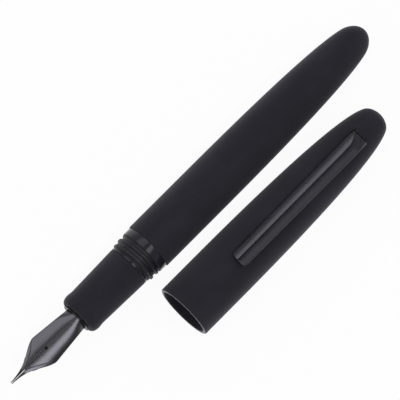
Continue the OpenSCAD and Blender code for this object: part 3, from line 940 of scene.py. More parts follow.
@dataclass
class NibUnit:
    """Nib with its tipping, feed and housing, in stations from the nib's tip."""

    roll: float = -1.0
    nib_x0: float = 0.504
    nib_x1: float = 35.5
    nib_out: float = 23.7
    shoulder_x: float = 12.0
    tip_w: float = 0.5
    taper_share: float = 0.25
    taper_power: float = 1.5
    shoulder_w: float = 8.74
    heel_w: float = 6.4
    heel_drop: float = 2.5
    tip_curve: float = 0.36
    tip_power: float = 4.0
    shoulder_curve: float = 0.2
    shoulder_power: float = 1.5
    heel_power: float = 8.0
    flat_share: float = 0.1
    bend_x: float = 14.0
    tip_z: float = 0.3
    sheet_t: float = 0.35
    slit_w: float = 0.12
    slit_end: float = 0.4
    hole_d: float = 0.95
    hole_x: float = 12.4
    hole_rows: float = 2.1
    hole_columns: float = 2.3
    rim_rows: float = 4.0
    rim_columns: float = 3.0
    sheet_edge: float = 0.08
    sharp_tip_l: float = 3.0
    tipping_d: float = 0.84
    rows: int = 132
    columns: int = 36
    feed_x0: float = 5.0
    feed_x1: float = 35.6
    fins_x0: float = 13.0
    fin_pitch: float = 1.1
    fin_gap: float = 0.45
    fin_depth: float = 0.8
    fin_top: float = -0.1
    shelf_top: float = 0.15
    feed_nose_r: float = 1.1
    feed_nose_l: float = 0.08
    feed_steps: int = 26
    feed_step_l: float = 0.02
    feed_room: float = 0.1
    feed_merge: float = 2e-3
    fins_lead: float = 0.2
    channel_w: float = 0.5
    channel_lead: float = 2.0
    flange_r: float = 4.34
    flange_x1: float = 24.9
    rim_l: float = 0.3
    rim_drop: float = 0.2
    rim_steps: int = 10
    groove_x1: float = 24.45
    housing_wall: float = 0.6
    housing_x1: float = 36.9
    nipple_x1: float = 43.4
    nipple_r: float = 2.2
    nipple_lead: float = 0.4
    nipple_bevel: float = 0.2
    bore_r: float = 0.9
    end_room: float = 0.2
    glue: float = 0.05
    heel_r: float = field(init=False)
    feed_r: float = field(init=False)

    def __post_init__(self) -> None:
        """Work out the radii that follow from the nib's heel."""
        self.heel_r = arc_radius(self.heel_w / 2, self.heel_drop)
        self.feed_r = self.heel_r - self.sheet_t - self.glue

    def build(self, bench: Bench) -> None:
        """Build and place the four pieces.

        Args:
            bench: The work place that takes the pieces.
        """
        seat = bench.pen.turned(self.roll)
        bench.piece(self.nib(), "nib", seat, 50.0, NIB_FINISH.material("nib_steel"))
        bench.piece(self.tipping(), "nib_tipping", seat)
        bench.piece(self.feed(), "feed", seat)
        # The housing takes the darkened resin that paints the shade of the gap round the nib.
        black = HOUSING_PAINTED_SHADE_FINISH.material("housing_painted_shade")
        bench.piece(self.housing(), "nib_housing", bench.pen, material=black)

    def half_w(self, x: float) -> float:
        """Work out the nib's width.

        Args:
            x: The station.

        Returns:
            Half the width there.
        """
        t = x / self.shoulder_x
        if t < 1:
            curved = (1 - math.cos(math.pi * t**self.taper_power)) / 2
            rise = self.taper_share * t + (1 - self.taper_share) * curved
            return blend(self.tip_w, self.shoulder_w, rise) / 2
        back = (x - self.shoulder_x) / (self.nib_out - self.shoulder_x)
        return blend(self.shoulder_w, self.heel_w, back) / 2

    def flat(self, x: float) -> float:
        """Give half the width of the flat along the nib's middle."""
        back = max(0.0, (x - self.shoulder_x) / (self.nib_out - self.shoulder_x))
        return self.flat_share * self.half_w(x) * max(0.0, 1 - back**self.heel_power)

    def curve_r(self, x: float) -> float:
        """Work out the nib's curve beside its flat.

        Args:
            x: The station.

        Returns:
            The curve's radius there.
        """
        half = self.half_w(x)
        t = x / self.shoulder_x
        if t < 1:
            depth = self.tip_curve * (1 - t) ** self.tip_power + self.shoulder_curve * t**self.shoulder_power
        else:
            back = (x - self.shoulder_x) / (self.nib_out - self.shoulder_x)
            depth = blend(self.shoulder_curve, 2 * self.heel_drop / self.heel_w, back**self.heel_power)
        return arc_radius(half - self.flat(x), depth * half)

    def half_arc(self, x: float) -> float:
        """Give half the nib's width measured round its curve."""
        r, flat = self.curve_r(x), self.flat(x)
        return flat + r * math.asin(min(1.0, (self.half_w(x) - flat) / r))

    def top(self, x: float) -> float:
        """Give the height of the nib's middle line."""
        return blend(self.heel_r, self.tip_z, max(0.0, 1 - x / self.bend_x) ** 2)

    def at(self, x: float, arc: float) -> Vector:
        """Find a point of the nib's upper face.

        Args:
            x: The station.
            arc: Distance from the middle, measured round the curve.

        Returns:
            The point.
        """
        r, flat = self.curve_r(x), self.flat(x)
        turn = max(0.0, abs(arc) - flat) / r
        across = min(abs(arc), flat) + r * math.sin(turn)
        return Vector((x, math.copysign(across, arc), self.top(x) - r + r * math.cos(turn)))

    def nib(self) -> Shape:
        """Shape the nib's sheet, with its slit and the hole at the slit's end.

        Returns:
            The finished shape.
        """
        shape = Shape()
        mesh = shape.mesh
        bmesh.ops.create_grid(mesh, x_segments=self.rows, y_segments=self.columns, size=1.0)
        step = (self.nib_x1 - self.nib_x0) / self.rows
        hole_x = self.nib_x0 + step * round((self.hole_x - self.nib_x0) / step)
        pitch = 2 * self.half_arc(hole_x) / self.columns
        sheet = mesh.verts.layers.float_vector.new("sheet")
        for vert in mesh.verts:
            x = blend(self.nib_x0, self.nib_x1, (vert.co.x + 1) / 2)
            arc = vert.co.y * self.half_arc(x)
            vert[sheet] = (x, arc, 0.0)
        hole_l, hole_w = self.hole_rows * step, self.hole_columns * pitch
        inside = [
            face
            for face in mesh.faces
            if all(abs(v[sheet].x - hole_x) < hole_l and abs(v[sheet].y) < hole_w for v in face.verts)
        ]
        bmesh.ops.delete(mesh, geom=inside, context="FACES")
        for vert in mesh.verts:
            x, arc, _ = vert[sheet]
            near = math.hypot(x - hole_x, arc) < self.rim_rows * step and abs(arc) < self.rim_columns * pitch
            if vert.is_boundary and near:
                angle = math.atan2(arc, x - hole_x)
                reach = self.hole_d / 2
                vert[sheet] = (hole_x + reach * math.cos(angle), reach * math.sin(angle), 0.0)
        split = [
            edge
            for edge in mesh.edges
            if all(abs(v[sheet].y) < MERGE and v[sheet].x < hole_x for v in edge.verts)
        ]
        bmesh.ops.split_edges(mesh, edges=split)
        for vert in mesh.verts:
            x, arc, _ = vert[sheet]
            reach = self.half_arc(x)
            if x < hole_x - self.slit_end * self.hole_d:
                side = sum(face.calc_center_median().y for face in vert.link_faces)
                arc += math.copysign(self.slit_w / 2 * (1 - abs(arc) / reach), side)
            vert[sheet] = (x, arc, reach - abs(arc))
        for vert in mesh.verts:
            vert.co = self.at(vert[sheet].x, vert[sheet].y)
        bmesh.ops.recalc_face_normals(mesh, faces=mesh.faces[:])
        if sum(face.normal.z for face in mesh.faces) < 0:
            bmesh.ops.reverse_faces(mesh, faces=mesh.faces[:])
        bmesh.ops.solidify(mesh, geom=mesh.faces[:], thickness=self.sheet_t)
        clear_of_slit = 2 * self.hole_d / 3
        return shape.soften(self.sheet_edge, 55.0, 2, behind=self.sharp_tip_l, beside=clear_of_slit)

    def tipping(self) -> Shape:
        """Shape the two halves of the writing pellet.

        Returns:
            The finished shape.
        """
        shape = Shape()
        mesh = shape.mesh
        r = self.tipping_d / 2
        place = Matrix.Translation((r, 0, self.tip_z))
        bmesh.ops.create_icosphere(mesh, subdivisions=4, radius=r, matrix=place)
        for point, outwards in (((self.nib_x0, 0, 0), (1, 0, 0)), ((0, self.slit_w / 2, 0), (0, -1, 0))):
            cut = bmesh.ops.bisect_plane(
                mesh,
                geom=mesh.verts[:] + mesh.edges[:] + mesh.faces[:],
                plane_co=point,
                plane_no=outwards,
                clear_outer=True,
            )
            rim = [item for item in cut["geom_cut"] if isinstance(item, bmesh.types.BMEdge)]
            bmesh.ops.holes_fill(mesh, edges=rim, sides=0)
        half = mesh.verts[:] + mesh.edges[:] + mesh.faces[:]
        bmesh.ops.mirror(mesh, geom=half, matrix=Matrix.Identity(4), merge_dist=-1.0, axis="Y")
        return shape.clean()

    def feed_outer(self, x: float) -> float:
        """Give the feed's outline radius in front of the housing."""
        nose = math.sqrt(2 * self.feed_nose_r * max(0.0, x - self.feed_x0))
        return min(self.feed_r, self.top(x) - self.sheet_t - self.glue, nose)

    def feed(self) -> Shape:
        """Shape the feed: a round nose, fins underneath and an ink channel on top.

        Returns:
            The finished shape.
        """
        outline: Outline = [(self.feed_x0, 0.0)]
        front = span(self.feed_x0 + self.feed_nose_l, self.fins_x0 - self.fins_lead, self.feed_steps)
        outline += [(x, self.feed_outer(x)) for x in front]
        x = self.fins_x0
        floor = self.feed_r - self.fin_depth
        while x < self.nib_out - self.fin_pitch:
            outline += [(x, self.feed_outer(x)), (x, floor)]
            outline += [(x + self.fin_gap, floor), (x + self.fin_gap, self.feed_outer(x + self.fin_gap))]
            x += self.fin_pitch
        back = self.nib_out + self.feed_room
        outline += [(back - self.feed_step_l, self.feed_r), (back, self.heel_r)]
        outline += [(self.feed_x1, self.heel_r), (self.feed_x1, 0.0)]

        def rule(station: float, angle: float, radius: float) -> float:
            """Fill the grooves on the upper side, and cut the shelf and the channel.

            Args:
                station: The point's station.
                angle: Its angle about the axis.
                radius: Its distance from the axis.

            Returns:
                Its new distance from the axis.
            """
            below = math.sin(angle) < (self.shelf_top if station > self.nib_out else self.fin_top)
            full = self.feed_outer(station)
            if below or radius < 0.5 * full:
                return radius
            in_middle = math.sin(angle) > 0 and abs(math.cos(angle)) * full < self.channel_w / 2
            in_channel = in_middle and station > self.feed_x0 + self.channel_lead
            return full - (self.channel_w if in_channel else 0.0)

        return Shape().turn(outline, 120).reradius(rule).clean(self.feed_merge)

    def housing(self) -> Shape:
        """Shape the housing, its grooved flange round the nib and the nipple for the converter.

        Returns:
            The finished shape.
        """
        bore = self.heel_r + self.glue
        outer = bore + self.housing_wall
        foot = outer - self.rim_drop
        rim = []
        for t in span(0, 1, self.rim_steps):
            x = self.nib_out + self.rim_l * (1 - math.sqrt(1 - t * t))
            rim.append((x, foot + (self.flange_r - foot) * math.sqrt(1 - (1 - t) ** 2)))
        back = self.nib_x1 + self.end_room
        outline = [(self.nib_out, bore)] + rim + [
            (self.nib_out + self.rim_l, outer),
            (self.groove_x1, outer),
            (self.groove_x1, self.flange_r),
            (self.flange_x1, self.flange_r),
            (self.flange_x1, outer),
            (self.housing_x1, outer),
            (self.housing_x1, self.nipple_r),
            (self.nipple_x1 - self.nipple_lead, self.nipple_r),
            (self.nipple_x1, self.nipple_r - self.nipple_bevel),
            (self.nipple_x1, self.bore_r),
            (back, self.bore_r),
            (back, bore),
        ]
        return Shape().turn(outline).soften(0.06)


@dataclass
class Section:
    """Grip and the bush that screws it to the barrel, in stations from the nib's tip."""

    x0: float = 24.2
    x1: float = 42.85
    front_r: float = 4.62
    lip_r: float = 5.8
    waist_r: float = 5.65
    rear_r: float = 6.05
    lip_l: float = 2.0
    edge: float = 0.1
    flange_x1: float = 24.95
    flange_bore_r: float = 4.56
    housing_bore_r: float = 4.048
    bush_x0: float = 37.0
    bush_x1: float = 54.05
    bush_r: float = 4.75
    bush_bore_r: float = 3.9
    thread_x0: float = 44.0
    thread_pitch: float = 0.9
    thread_depth: float = 0.14
    thread_lead: float = 0.6
    thread_steps: int = 110
    root_lead: float = 0.4
    end_bevel: float = 0.2
    end_bevel_l: float = 0.35
    glue: float = 0.05

    def build(self, bench: Bench) -> None:
        """Build and place the two pieces."""
        bench.piece(self.grip(), "grip_section", bench.pen)
        bench.piece(self.bush(), "section_bush", bench.pen, 60.0)

    def outer(self, x: float) -> float:
        """Work out the grip's outline.

        Args:
            x: The station.

        Returns:
            The radius there.
        """
        s = x - self.x0
        if s < self.lip_l:
            return self.front_r + (self.lip_r - self.front_r) * math.sqrt(1 - (1 - s / self.lip_l) ** 2)
        if s < 2 * self.lip_l:
            return blend(self.lip_r, self.waist_r, (1 - math.cos(math.pi * (s / self.lip_l - 1))) / 2)
        return blend(self.waist_r, self.rear_r, (s - 2 * self.lip_l) / (self.x1 - self.x0 - 2 * self.lip_l))

    def grip(self) -> Shape:
        """Shape the grip with its rounded lip and waist.

        Returns:
            The finished shape.
        """
        lip = [self.x0 + self.lip_l * s * s for s in span(0, 1, 14)]
        waist = span(self.x0 + self.lip_l, self.x0 + 2 * self.lip_l, 14)[1:]
        outline = [(x, self.outer(x)) for x in lip + waist]
        outline += [(x, self.outer(x)) for x in span(self.x0 + 2 * self.lip_l, self.x1 - self.edge, 8)[1:]]
        outline += [
            (self.x1, self.rear_r - self.edge),
            (self.x1, self.bush_r + self.glue),
            (self.bush_x0 - self.glue, self.bush_r + self.glue),
            (self.bush_x0 - self.glue, self.housing_bore_r),
            (self.flange_x1, self.housing_bore_r),
            (self.flange_x1, self.flange_bore_r),
            (self.x0, self.flange_bore_r),
        ]
        return Shape().turn(outline).soften(0.05)

    def bush(self) -> Shape:
        """Shape the bush with its fine thread.

        Returns:
            The finished shape.
        """
        run_end = self.bush_x1 - self.thread_lead
        run = Thread(self.thread_x0, run_end, self.thread_pitch, self.thread_depth)
        root_x0, root_x1 = self.thread_x0 - self.root_lead, self.bush_x1 - self.end_bevel_l
        root = self.bush_r - self.thread_depth
        outline = [(self.bush_x0, self.bush_bore_r), (self.bush_x0, self.bush_r)]
        outline += [(self.thread_x0 - self.thread_lead, self.bush_r), (root_x0 - self.edge, root)]
        outline += [(x, root) for x in span(root_x0, root_x1, self.thread_steps)]
        outline += [(self.bush_x1, root - self.end_bevel), (self.bush_x1, self.bush_bore_r)]
        shape = Shape().turn(outline, 96)
        return shape.raise_thread(run, root, root_x0 - self.edge / 2, root_x1 + self.edge / 2)


@dataclass
class Barrel:
    """Barrel and the collar with the cap thread, in stations from the nib's tip."""

    lip_x: float = 50.2
    end_x: float = 131.2
    radius: float = 6.93
    mouth_r: float = 5.83
    straight_l: float = 16.0
    taper: tuple[float, float] = (2.6, 4.2)
    end_l: float = 4.5
    wall: float = 1.1
    edge: float = 0.25
    spigot_x1: float = 57.2
    bore_x1: float = 107.0
    bore_x2: float = 118.0
    collar_x0: float = 42.95
    collar_bore_r: float = 4.85
    ring_r: float = 6.05
    ring_edge: float = 0.1
    ring_round: float = 0.03
    step_edge: float = 0.05
    relief_l: float = 0.5
    relief_r: float = 5.85
    relief_fillet: float = 0.12
    relief_end: float = 0.1
    thread_x0: float = 44.0
    thread_x1: float = 47.85
    thread_pitch: float = 1.9
    thread_crest: float = 0.13
    thread_foot: float = 0.31
    thread_run_in: float = 0.17
    thread_start: float = 0.1
    thread_steps: int = 110
    thread_depth: float = 0.45
    root_r: float = 6.15
    root_front: float = 0.02
    root_edge: float = 0.06
    root_step: float = 0.08
    neck_r: float = 6.7
    neck_round: float = 0.07
    glue: float = 0.05

    def build(self, bench: Bench) -> None:
        """Build and place the two pieces."""
        bench.piece(self.shell(), "barrel", bench.pen)
        bench.piece(self.collar(), "thread_collar", bench.pen, 60.0)

    def shell(self) -> Shape:
        """Shape the tapering barrel with its bores.

        Returns:
            The finished shape.
        """
        outer = Taper(self.radius, self.lip_x + self.straight_l, self.end_x, self.taper, self.end_l)
        bore_1 = outer.at(self.bore_x1) - self.wall
        bore_2 = outer.at(self.bore_x2) - self.wall
        outline = [(self.lip_x, self.mouth_r), (self.lip_x, self.radius - self.edge)]
        outline += [(self.lip_x + self.edge, self.radius)] + outer.points(TAPER_STEPS)
        outline += [
            (self.bore_x2, 0.0),
            (self.bore_x2, bore_2),
            (self.bore_x1, bore_2),
            (self.bore_x1, bore_1),
            (self.spigot_x1 + self.glue, bore_1),
            (self.spigot_x1 + self.glue, self.mouth_r),
        ]
        return Shape().turn(outline, 160).soften(0.08)

    def collar(self) -> Shape:
        """Shape the ring, the cap thread, the neck and the spigot in the barrel.

        Returns:
            The finished shape.
        """
        start = self.thread_x0 + self.thread_start * self.thread_pitch
        form = (self.thread_crest, self.thread_foot, self.thread_run_in)
        run = Thread(start, self.lip_x, self.thread_pitch, self.thread_depth, *form)
        relief_x0 = self.thread_x0 - self.relief_l
        spigot_r = self.mouth_r - self.glue
        seam = self.lip_x - self.glue
        outline = [
            (self.collar_x0, self.collar_bore_r),
            (self.collar_x0, self.ring_r - self.ring_edge),
            (self.collar_x0 + self.ring_round, self.ring_r - self.ring_round),
            (self.collar_x0 + self.ring_edge, self.ring_r),
            (relief_x0 - self.step_edge, self.ring_r),
            (relief_x0, self.ring_r - self.step_edge),
            (relief_x0 + self.step_edge, self.relief_r + self.ring_round),
            (relief_x0 + self.relief_fillet, self.relief_r),
            (self.thread_x0 - self.relief_end, self.relief_r),
            (self.thread_x0 - self.root_front, self.relief_r + self.root_edge),
            (self.thread_x0, self.root_r - self.root_edge),
        ]
        root_x0, root_x1 = self.thread_x0 + self.root_edge / 2, self.thread_x1 - self.root_edge
        outline += [(x, self.root_r) for x in span(root_x0, root_x1, self.thread_steps)]
        outline += [
            (self.thread_x1, self.root_r + self.root_step),
            (self.thread_x1, self.neck_r - self.edge),
            (self.thread_x1 + self.neck_round, self.neck_r - self.neck_round),
            (self.thread_x1 + self.edge, self.neck_r),
            (seam - self.root_edge, self.neck_r),
            (seam, self.neck_r - self.root_edge),
            (seam, spigot_r),
            (self.spigot_x1, spigot_r),
            (self.spigot_x1, self.collar_bore_r),
        ]
        shape = Shape().turn(outline, 180).raise_thread(run, self.root_r, high=self.thread_x1)
        return shape.mark("thread", relief_x0, self.thread_x1 + self.edge / 2)


@dataclass
class Converter:
    """Piston converter inside the barrel, in stations from its mouth."""

    x0: float = 37.0
    length: float = 70.0
    mouth_r: float = 3.8
    mouth_l: float = 9.0
    mouth_bevel: float = 0.3
    mouth_taper: float = 0.2
    mouth_taper_l: float = 0.7
    socket_r: float = 2.25
    socket_bevel: float = 0.15
    socket_l: float = 6.8
    hole_r: float = 1.5
    spigot_s1: float = 12.0
    tube_r: float = 3.6
    tube_bore_r: float = 3.0
    tube_s1: float = 46.1
    band_s0: float = 42.1
    band_s1: float = 56.1
    band_r: float = 3.85
    band_bore_r: float = 3.65
    band_groove: tuple[float, float, float, float] = (1.0, 1.1, 1.3, 1.4)
    band_groove_depth: float = 0.06
    band_edge: float = 0.25
    band_round: float = 0.07
    band_roll_l: float = 0.8
    knob_s0: float = 56.3
    knob_r: float = 3.65
    flange_s0: float = 46.9
    flange_s1: float = 48.3
    flange_r: float = 3.55
    neck_r: float = 2.9
    cavity_r: float = 2.0
    knob_wall: float = 1.4
    knob_edge: float = 0.08
    knob_crown: tuple[tuple[float, float], ...] = ((0.6, 0.0), (0.3, 0.12), (0.1, 0.3), (0.0, 0.6))
    ribs: int = 18
    rib_depth: float = 0.28
    rib_lead: float = 1.0
    rib_front: float = 0.05
    rib_run: float = 0.3
    rib_reach: float = 0.65
    rib_steps: int = 14
    flute_share: float = 0.24
    spindle_s0: float = 41.0
    spindle_r: float = 1.0
    spindle_pitch: float = 1.2
    spindle_depth: float = 0.12
    spindle_bevel: float = 0.1
    spindle_run: tuple[float, float] = (0.5, 2.0)
    spindle_steps: int = 190
    shank_l: float = 1.5
    rod_s0: float = 38.6
    rod_bore_s0: float = 40.4
    rod_s1: float = 67.4
    rod_r: float = 1.85
    rod_bore_r: float = 1.1
    rod_front_bevel: float = 0.15
    rod_bevel: float = 0.2
    seal_s0: float = 37.9
    seal_s1: float = 42.9
    seal_r: float = 2.95
    seal_groove_r: float = 2.65
    seal_lip: float = 0.3
    glue: float = 0.05

    def build(self, bench: Bench) -> None:
        """Build and place the seven pieces.

        Args:
            bench: The work place that takes the pieces.
        """
        seat = Seat(bench.pen.x + self.x0, bench.pen.y, bench.pen.z)
        bench.piece(self.mouth(), "converter_mouth", seat)
        bench.piece(self.tube(), "converter_tube", seat)
        bench.piece(self.band(), "converter_band", seat)
        bench.piece(self.knob(), "converter_knob", seat, 50.0)
        bench.piece(self.spindle(), "converter_spindle", seat, 60.0)
        bench.piece(self.rod(), "piston_rod", seat)
        bench.piece(self.seal(), "piston_seal", seat)

    def mouth(self) -> Shape:
        """Shape the socket that pushes on to the nipple.

        Returns:
            The finished shape.
        """
        spigot_r = self.tube_bore_r - self.glue
        return Shape().turn([
            (0.0, self.socket_r + self.socket_bevel),
            (0.0, self.mouth_r - self.mouth_bevel),
            (self.mouth_bevel, self.mouth_r),
            (self.mouth_l - self.mouth_taper_l, self.mouth_r),
            (self.mouth_l - self.glue, self.mouth_r - self.mouth_taper),
            (self.mouth_l - self.glue, spigot_r),
            (self.spigot_s1, spigot_r),
            (self.spigot_s1, self.hole_r),
            (self.socket_l, self.hole_r),
            (self.socket_l, self.socket_r),
            (self.mouth_bevel, self.socket_r),
        ]).soften(0.06)

    def tube(self) -> Shape:
        """Shape the clear ink tube."""
        return Shape().tube(self.mouth_l, self.tube_s1, self.tube_bore_r, self.tube_r).soften(0.08)

    def band(self) -> Shape:
        """Shape the metal band, rolled inwards at its rear.

        Returns:
            The finished shape.
        """
        groove = [self.band_s0 + s for s in self.band_groove]
        floor_r = self.band_r - self.band_groove_depth
        roll = self.band_s1 - self.band_roll_l
        return Shape().turn([
            (self.band_s0, self.band_bore_r),
            (self.band_s0, self.band_r),
            (groove[0], self.band_r),
            (groove[1], floor_r),
            (groove[2], floor_r),
            (groove[3], self.band_r),
            (self.band_s1 - self.band_edge, self.band_r),
            (self.band_s1 - self.band_round, self.band_r - self.band_round),
            (self.band_s1, self.band_r - self.band_edge),
            (self.band_s1, self.tube_bore_r),
            (roll, self.tube_bore_r),
            (roll, self.band_bore_r),
        ]).soften(0.03)

    def knob(self) -> Shape:
        """Shape the filling knob with ribs round its head.

        Returns:
            The finished shape.
        """
        head = self.knob_s0 + self.rib_lead
        outline = [
            (self.flange_s0, self.cavity_r),
            (self.flange_s0, self.flange_r),
            (self.flange_s1, self.flange_r),
            (self.flange_s1, self.neck_r),
            (self.knob_s0, self.neck_r),
            (self.knob_s0, self.knob_r - self.knob_edge),
            (self.knob_s0 + self.knob_edge, self.knob_r),
            (head - self.rib_front, self.knob_r),
            (head + self.rib_run / 3, self.knob_r),
            (head + self.rib_run, self.knob_r),
        ]
        outline += [(self.length - back, self.knob_r - drop) for back, drop in self.knob_crown]
        floor = self.length - self.knob_wall
        outline += [(self.length, 0.0), (floor, 0.0), (floor, self.cavity_r)]

        def rule(s: float, angle: float, radius: float) -> float:
            """Press round flutes between the ribs.

            Args:
                s: The point's station.
                angle: Its angle about the axis.
                radius: Its distance from the axis.

            Returns:
                Its new distance from the axis.
            """
            phase = (angle * self.ribs / (2 * math.pi)) % 1.0
            flute = max(0.0, 1 - (abs(phase - 0.5) / self.flute_share) ** 2) ** 0.5
            on_head = s > head and radius > self.knob_r - self.rib_reach
            return radius - self.rib_depth * flute * ease(head, head + self.rib_run, s) if on_head else radius

        return Shape().turn(outline, self.rib_steps * self.ribs).reradius(rule)

    def spindle(self) -> Shape:
        """Shape the screw spindle that drives the piston.

        Returns:
            The finished shape.
        """
        s1 = self.length - self.knob_wall
        s0, bevel = self.spindle_s0, self.spindle_bevel
        shank = s1 - self.shank_l
        run_s0, run_s1 = s0 + self.spindle_run[0], s1 - self.spindle_run[1]
        run = Thread(run_s0, run_s1, self.spindle_pitch, self.spindle_depth)
        root = self.spindle_r - self.spindle_depth
        outline = [(s0, 0.0), (s0, root - bevel), (s0 + bevel, root)]
        outline += [(s, root) for s in span(s0 + 2 * bevel, shank - bevel, self.spindle_steps)]
        outline += [(shank, self.spindle_r), (s1, self.spindle_r), (s1, 0.0)]
        return Shape().turn(outline, 40).raise_thread(run, root)

    def rod(self) -> Shape:
        """Shape the hollow stem of the piston.

        Returns:
            The finished shape.
        """
        return Shape().turn([
            (self.rod_s0, 0.0),
            (self.rod_s0, self.rod_r - self.rod_front_bevel),
            (self.rod_s0 + self.rod_front_bevel, self.rod_r),
            (self.rod_s1 - self.rod_bevel, self.rod_r),
            (self.rod_s1, self.rod_r - self.rod_bevel),
            (self.rod_s1, self.rod_bore_r),
            (self.rod_bore_s0, self.rod_bore_r),
            (self.rod_bore_s0, 0.0),
        ], 72).soften(0.05)

    def seal(self) -> Shape:
        """Shape the piston's head with its two lips.

        Returns:
            The finished shape.
        """
        lip = self.seal_lip * (self.seal_s1 - self.seal_s0)
        inner = self.rod_r + self.glue
        return Shape().turn([
            (self.seal_s0, 0.0),
            (self.seal_s0, self.seal_r),
            (self.seal_s0 + lip, self.seal_r),
            (self.seal_s0 + lip, self.seal_groove_r),
            (self.seal_s1 - lip, self.seal_groove_r),
            (self.seal_s1 - lip, self.seal_r),
            (self.seal_s1, self.seal_r),
            (self.seal_s1, inner),
            (self.rod_s0 - self.glue, inner),
            (self.rod_s0 - self.glue, 0.0),
        ]).soften(0.12)


@dataclass
class Cap:
    """Cap with its sprung liner and the fixings of its clip, in stations from its mouth."""

    length: float = 73.4
    radius: float = 8.025
    straight_l: float = 12.0
    taper: tuple[float, float] = (2.21, 3.91)
    end_l: float = 2.0
    edge: float = 0.25
    rim_round: float = 0.1
    lip_bore_r: float = 6.9
    lip_l: float = 2.35
    thread_r: float = 6.7
    thread_c1: float = 7.25
    thread_pitch: float = 1.9
    thread_depth: float = 0.36
    thread_start: float = 0.9
    thread_relief: float = 0.3
    thread_margin: float = 0.05
    thread_steps: int = 64
    bore_r: float = 6.35
    step_c: float = 40.0
    liner_hole_r: float = 6.118
    liner_hole_c1: float = 53.0
    chamber_r: float = 3.9
    chamber_c1: float = 63.95
    screw_c1: float = 67.95
    slot_c0: float = 62.2
    slot_c1: float = 64.85
    slot_w: float = 5.1
    slot_z: float = 2.925
    slot_round: float = 0.3
    liner_c0: float = 23.5
    liner_c1: float = 49.8
    liner_r: float = 5.818
    liner_bore_r: float = 5.218
    liner_end_t: float = 1.0
    liner_bevel: float = 0.2
    liner_bevel_l: float = 0.4
    liner_flange_c0: float = 35.4
    liner_flange_c1: float = 36.9
    liner_flange_r: float = 6.2
    stem_r: float = 2.2
    travel: float = 2.8
    bush_c0: float = 27.0
    bush_c1: float = 35.3
    bush_play: float = 0.1
    spring_r: float = 2.75
    wire_r: float = 0.25
    coils: int = 6
    coil_steps: int = 28
    wire_sides: int = 12
    plug_c0: float = 61.0
    plug_c1: float = 62.6
    screw_r: float = 0.95
    screw_pitch: float = 0.5
    screw_depth: float = 0.12
    screw_bevel: float = 0.1
    screw_lead: float = 0.2
    screw_steps: int = 90
    head_bevel: float = 0.2
    head_r: float = 1.9
    head_l: float = 1.1
    head_slot_w: float = 0.4
    head_slot_depth: float = 0.5
    glue: float = 0.05

    def outline(self) -> Taper:
        """Give the cap's outer outline."""
        return Taper(self.radius, self.straight_l, self.length, self.taper, self.end_l)

    def build(self, bench: Bench) -> None:
        """Build and place the six pieces.

        Args:
            bench: The work place that takes the pieces.
        """
        bench.piece(self.shell(), "cap_shell", bench.cap, 50.0)
        bench.piece(self.liner(), "cap_liner", bench.cap)
        bench.piece(self.bush(), "liner_bush", bench.cap)
        bench.piece(self.plug(), "clip_plug", bench.cap)
        bench.piece(self.screw(), "clip_screw", bench.cap)
        spring = bench.piece(self.spring(), "liner_spring", bench.cap)
        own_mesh(spring)

    def shell(self) -> Shape:
        """Shape the cap with its stepped bore, its thread and the slot for the clip.

        Returns:
            The finished shape.
        """
        start, end = self.lip_l + self.thread_start, self.thread_c1 - self.thread_relief
        run = Thread(start, end, self.thread_pitch, self.thread_depth)
        outline = [(0.0, self.lip_bore_r + self.edge), (0.0, self.radius - self.edge)]
        outline += [(self.edge, self.radius)] + self.outline().points(TAPER_STEPS)
        outline += [
            (self.screw_c1, 0.0),
            (self.screw_c1, self.screw_r + self.glue),
            (self.chamber_c1, self.screw_r + self.glue),
            (self.chamber_c1, self.chamber_r),
            (self.liner_hole_c1, self.chamber_r),
            (self.liner_hole_c1, self.liner_hole_r),
            (self.step_c, self.liner_hole_r),
            (self.step_c, self.bore_r),
            (self.thread_c1 + self.thread_relief, self.bore_r),
        ]
        outline += [(c, self.thread_r) for c in span(self.thread_c1, self.lip_l, self.thread_steps)]
        outline += [(self.lip_l, self.lip_bore_r), (self.edge, self.lip_bore_r)]
        shape = Shape().turn(outline, 160).soften(self.rim_round, 30.0, before=2 * self.edge)
        low, high = self.lip_l + self.thread_margin, self.thread_c1 - self.thread_margin
        shape.raise_thread(run, self.thread_r, low, high, way=-1.0)
        half = self.slot_w / 2
        tool = Shape().block((self.slot_c0, -half, self.slot_z), (self.slot_c1, half, 1.2 * self.radius))
        shape.combine(tool.soften(self.slot_round, 60.0, 4), Joining.CUT)
        return shape.mark("burnish", -self.edge, self.edge / 2)

    def liner(self) -> Shape:
        """Shape the inner cap that covers the nib.

        Returns:
            The finished shape.
        """
        inner_end = self.liner_c1 - self.liner_end_t
        return Shape().turn([
            (self.liner_c0, self.liner_bore_r + self.liner_bevel),
            (self.liner_c0, self.liner_r),
            (self.liner_flange_c0, self.liner_r),
            (self.liner_flange_c0, self.liner_flange_r),
            (self.liner_flange_c1, self.liner_flange_r),
            (self.liner_flange_c1, self.liner_r),
            (self.liner_c1, self.liner_r),
            (self.liner_c1, self.stem_r),
            (self.liner_c1 + self.travel, self.stem_r),
            (self.liner_c1 + self.travel, 0.0),
            (inner_end, 0.0),
            (inner_end, self.liner_bore_r),
            (self.liner_c0 + self.liner_bevel_l, self.liner_bore_r),
        ]).soften(0.1)

    def bush(self) -> Shape:
        """Shape the ring that holds the liner."""
        bore, radius = self.liner_r + self.bush_play, self.bore_r - self.glue
        return Shape().tube(self.bush_c0, self.bush_c1, bore, radius).soften(0.12)

    def plug(self) -> Shape:
        """Shape the washer behind the clip's tab."""
        bore, radius = self.screw_r + self.glue, self.chamber_r - self.glue
        return Shape().tube(self.plug_c0, self.plug_c1, bore, radius).soften(0.1)

